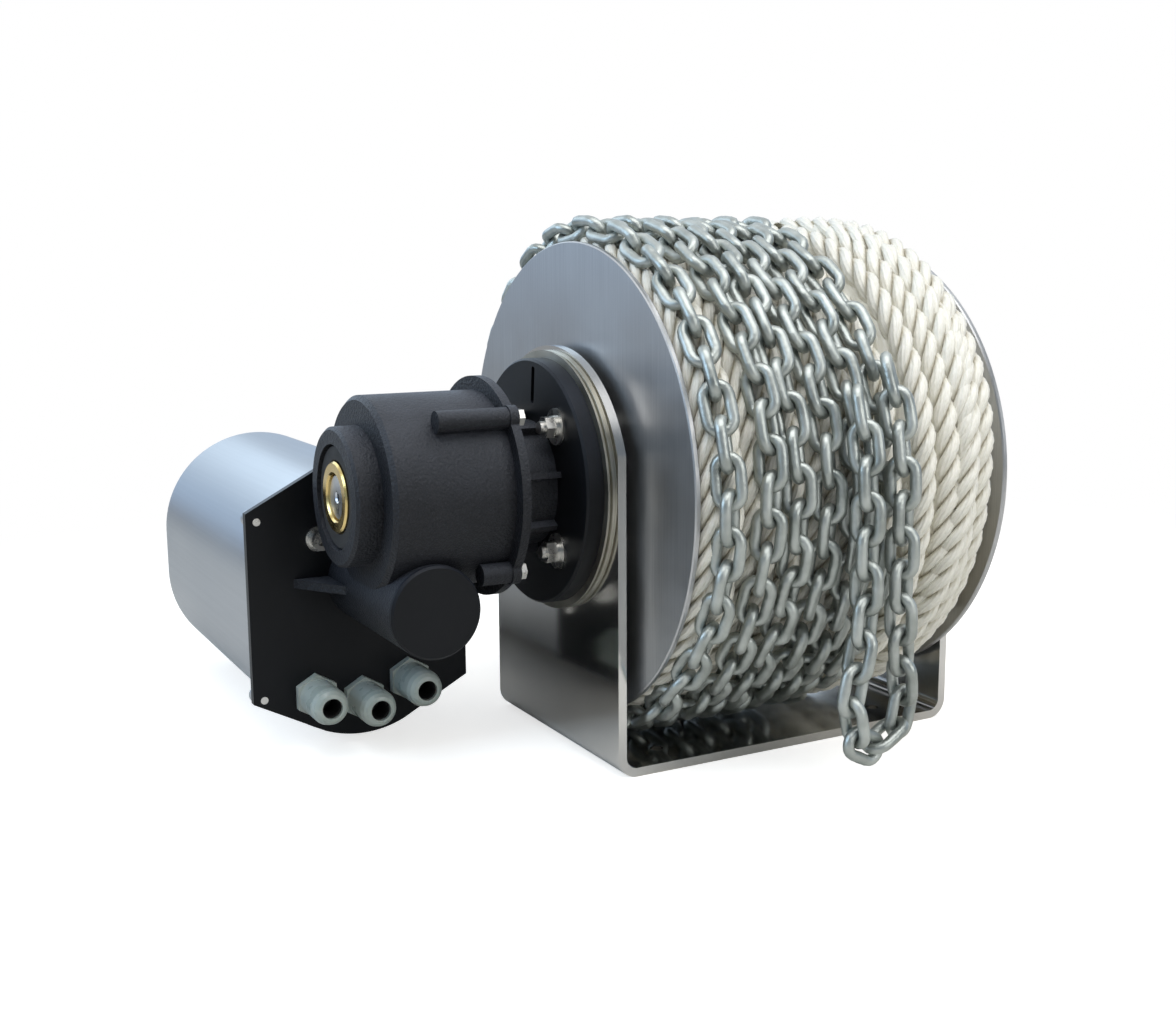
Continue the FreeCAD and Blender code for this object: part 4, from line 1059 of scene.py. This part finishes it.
def wound_chain(number):
    """One turn of chain in the place of its solid ring."""
    low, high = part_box("chain_turn_" + str(number))
    middle = (low.x + high.x) / 2
    rng = random.Random(40 + number)
    start = rng.random() * 2 * math.pi
    angle = start - 2 * np.pi * np.arange(links_per_turn + 1) / links_per_turn
    phase = rng.random() * 6
    x = middle + 0.0016 * np.sin(2 * angle + phase) + 0.0010 * np.sin(5 * angle + 2 * phase)
    x[-1] = x[0]
    points, out = around_drum(x, angle, wound_radius)
    drift = 45 + 14 * np.sin(2 * angle + phase * 2) + 6 * np.sin(7 * angle + phase)
    tilts = [math.radians(drift[i] - (0 if i % 2 else 90) + rng.uniform(-4, 4))
             for i in range(links_per_turn)]
    piece = place_links("chain_wound_" + str(number), points, out, tilts)
    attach(piece, "drum")
    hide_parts("chain_turn_" + str(number))


for number in range(1, turn_count + 1):
    wound_chain(number)
print(turn_count, "turns of chain,", links_per_turn, "links each")

# %% [markdown]
# ## The slack bight
# One loop of chain has come loose. It leaves the drum above the axis, falls in front of the turns, swings
# round above the base and climbs back. A link that lies in the plane of a bend turns about the round inside
# of its ends, and a link square to it turns about the crowns. So the walk along the route takes short and
# long steps by turns, and the short ones leave the links a little play.

# %% The bight's route
bight_low, bight_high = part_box("chain_bight")
slack_radius = -bight_low.y - 0.0113  # from the drum axis to the middle of the slack chain
left_run, right_run = -0.017, 0.0105
neck_height = 0.110                   # where the two runs bend towards the loop
loop_radius = 0.025
loop_height = 0.052
loop_sway = 0.004                     # the loop's right side hangs this much nearer the drum
loop_bend = math.radians(15.0)
lift = math.radians(25.0)


def bight_route():
    """Points down the right run, round the loop at the foot and up the left run."""
    arc = [(-slack_radius * math.cos(lift * i / 4), axis_z + slack_radius * math.sin(lift * i / 4))
           for i in range(5)]
    down = [(right_run, y, z) for y, z in reversed(arc)] + [(right_run, -slack_radius, neck_height)]
    up = [(left_run, -slack_radius, neck_height)] + [(left_run, y, z) for y, z in arc]
    middle, loop = (left_run + right_run) / 2, []
    for i in range(25):
        angle = loop_bend - (math.pi + 2 * loop_bend) * i / 24
        loop.append((middle + loop_radius * math.cos(angle), loop_sway * (1 + math.cos(angle)) - slack_radius,
                     loop_height + loop_radius * math.sin(angle)))
    return [np.array(p) for p in down + loop + up]


print("bight from", [round(v, 4) for v in bight_low], "to", [round(v, 4) for v in bight_high])

# %% Walk along the route
def walk(route, steps):
    """Points on a route whose straight distances follow a repeating row of steps."""
    found, start, index = [route[0]], route[0], 0
    while index < len(route) - 1:
        step = steps[(len(found) - 1) % len(steps)]
        if np.linalg.norm(route[index + 1] - found[-1]) < step:
            index += 1
            start = route[index]
            continue
        low, high = 0.0, 1.0
        for _ in range(40):
            middle = (low + high) / 2
            if np.linalg.norm(start + (route[index + 1] - start) * middle - found[-1]) < step:
                low = middle
            else:
                high = middle
        found.append(start + (route[index + 1] - start) * low)
        start = found[-1]
    return np.array(found)


short_step = chain_pitch - chain_wire - 2 * chain_play
long_step = chain_pitch + chain_wire
slack_points = walk(bight_route(), (short_step, long_step))
slack_count = len(slack_points) - 1
print("slack links:", slack_count)

# %% Hang the slack chain
slack_out = np.tile(np.array([0.0, -1.0, 0.001]), (slack_count + 1, 1))
slack_tilts = [math.radians((45 if i % 2 else -45) + 90 * i / slack_count) for i in range(slack_count)]
slack = place_links("chain_slack", slack_points, slack_out, slack_tilts)
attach(slack, "frame")
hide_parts("chain_bight")
print("slack chain faces:", len(slack.data.polygons))

# %% [markdown]
# ## Last settings
# Nothing here may grow the winch. The Standard view shows colours as written.

# %% Last settings
bpy.context.scene.view_settings.view_transform = "Standard"
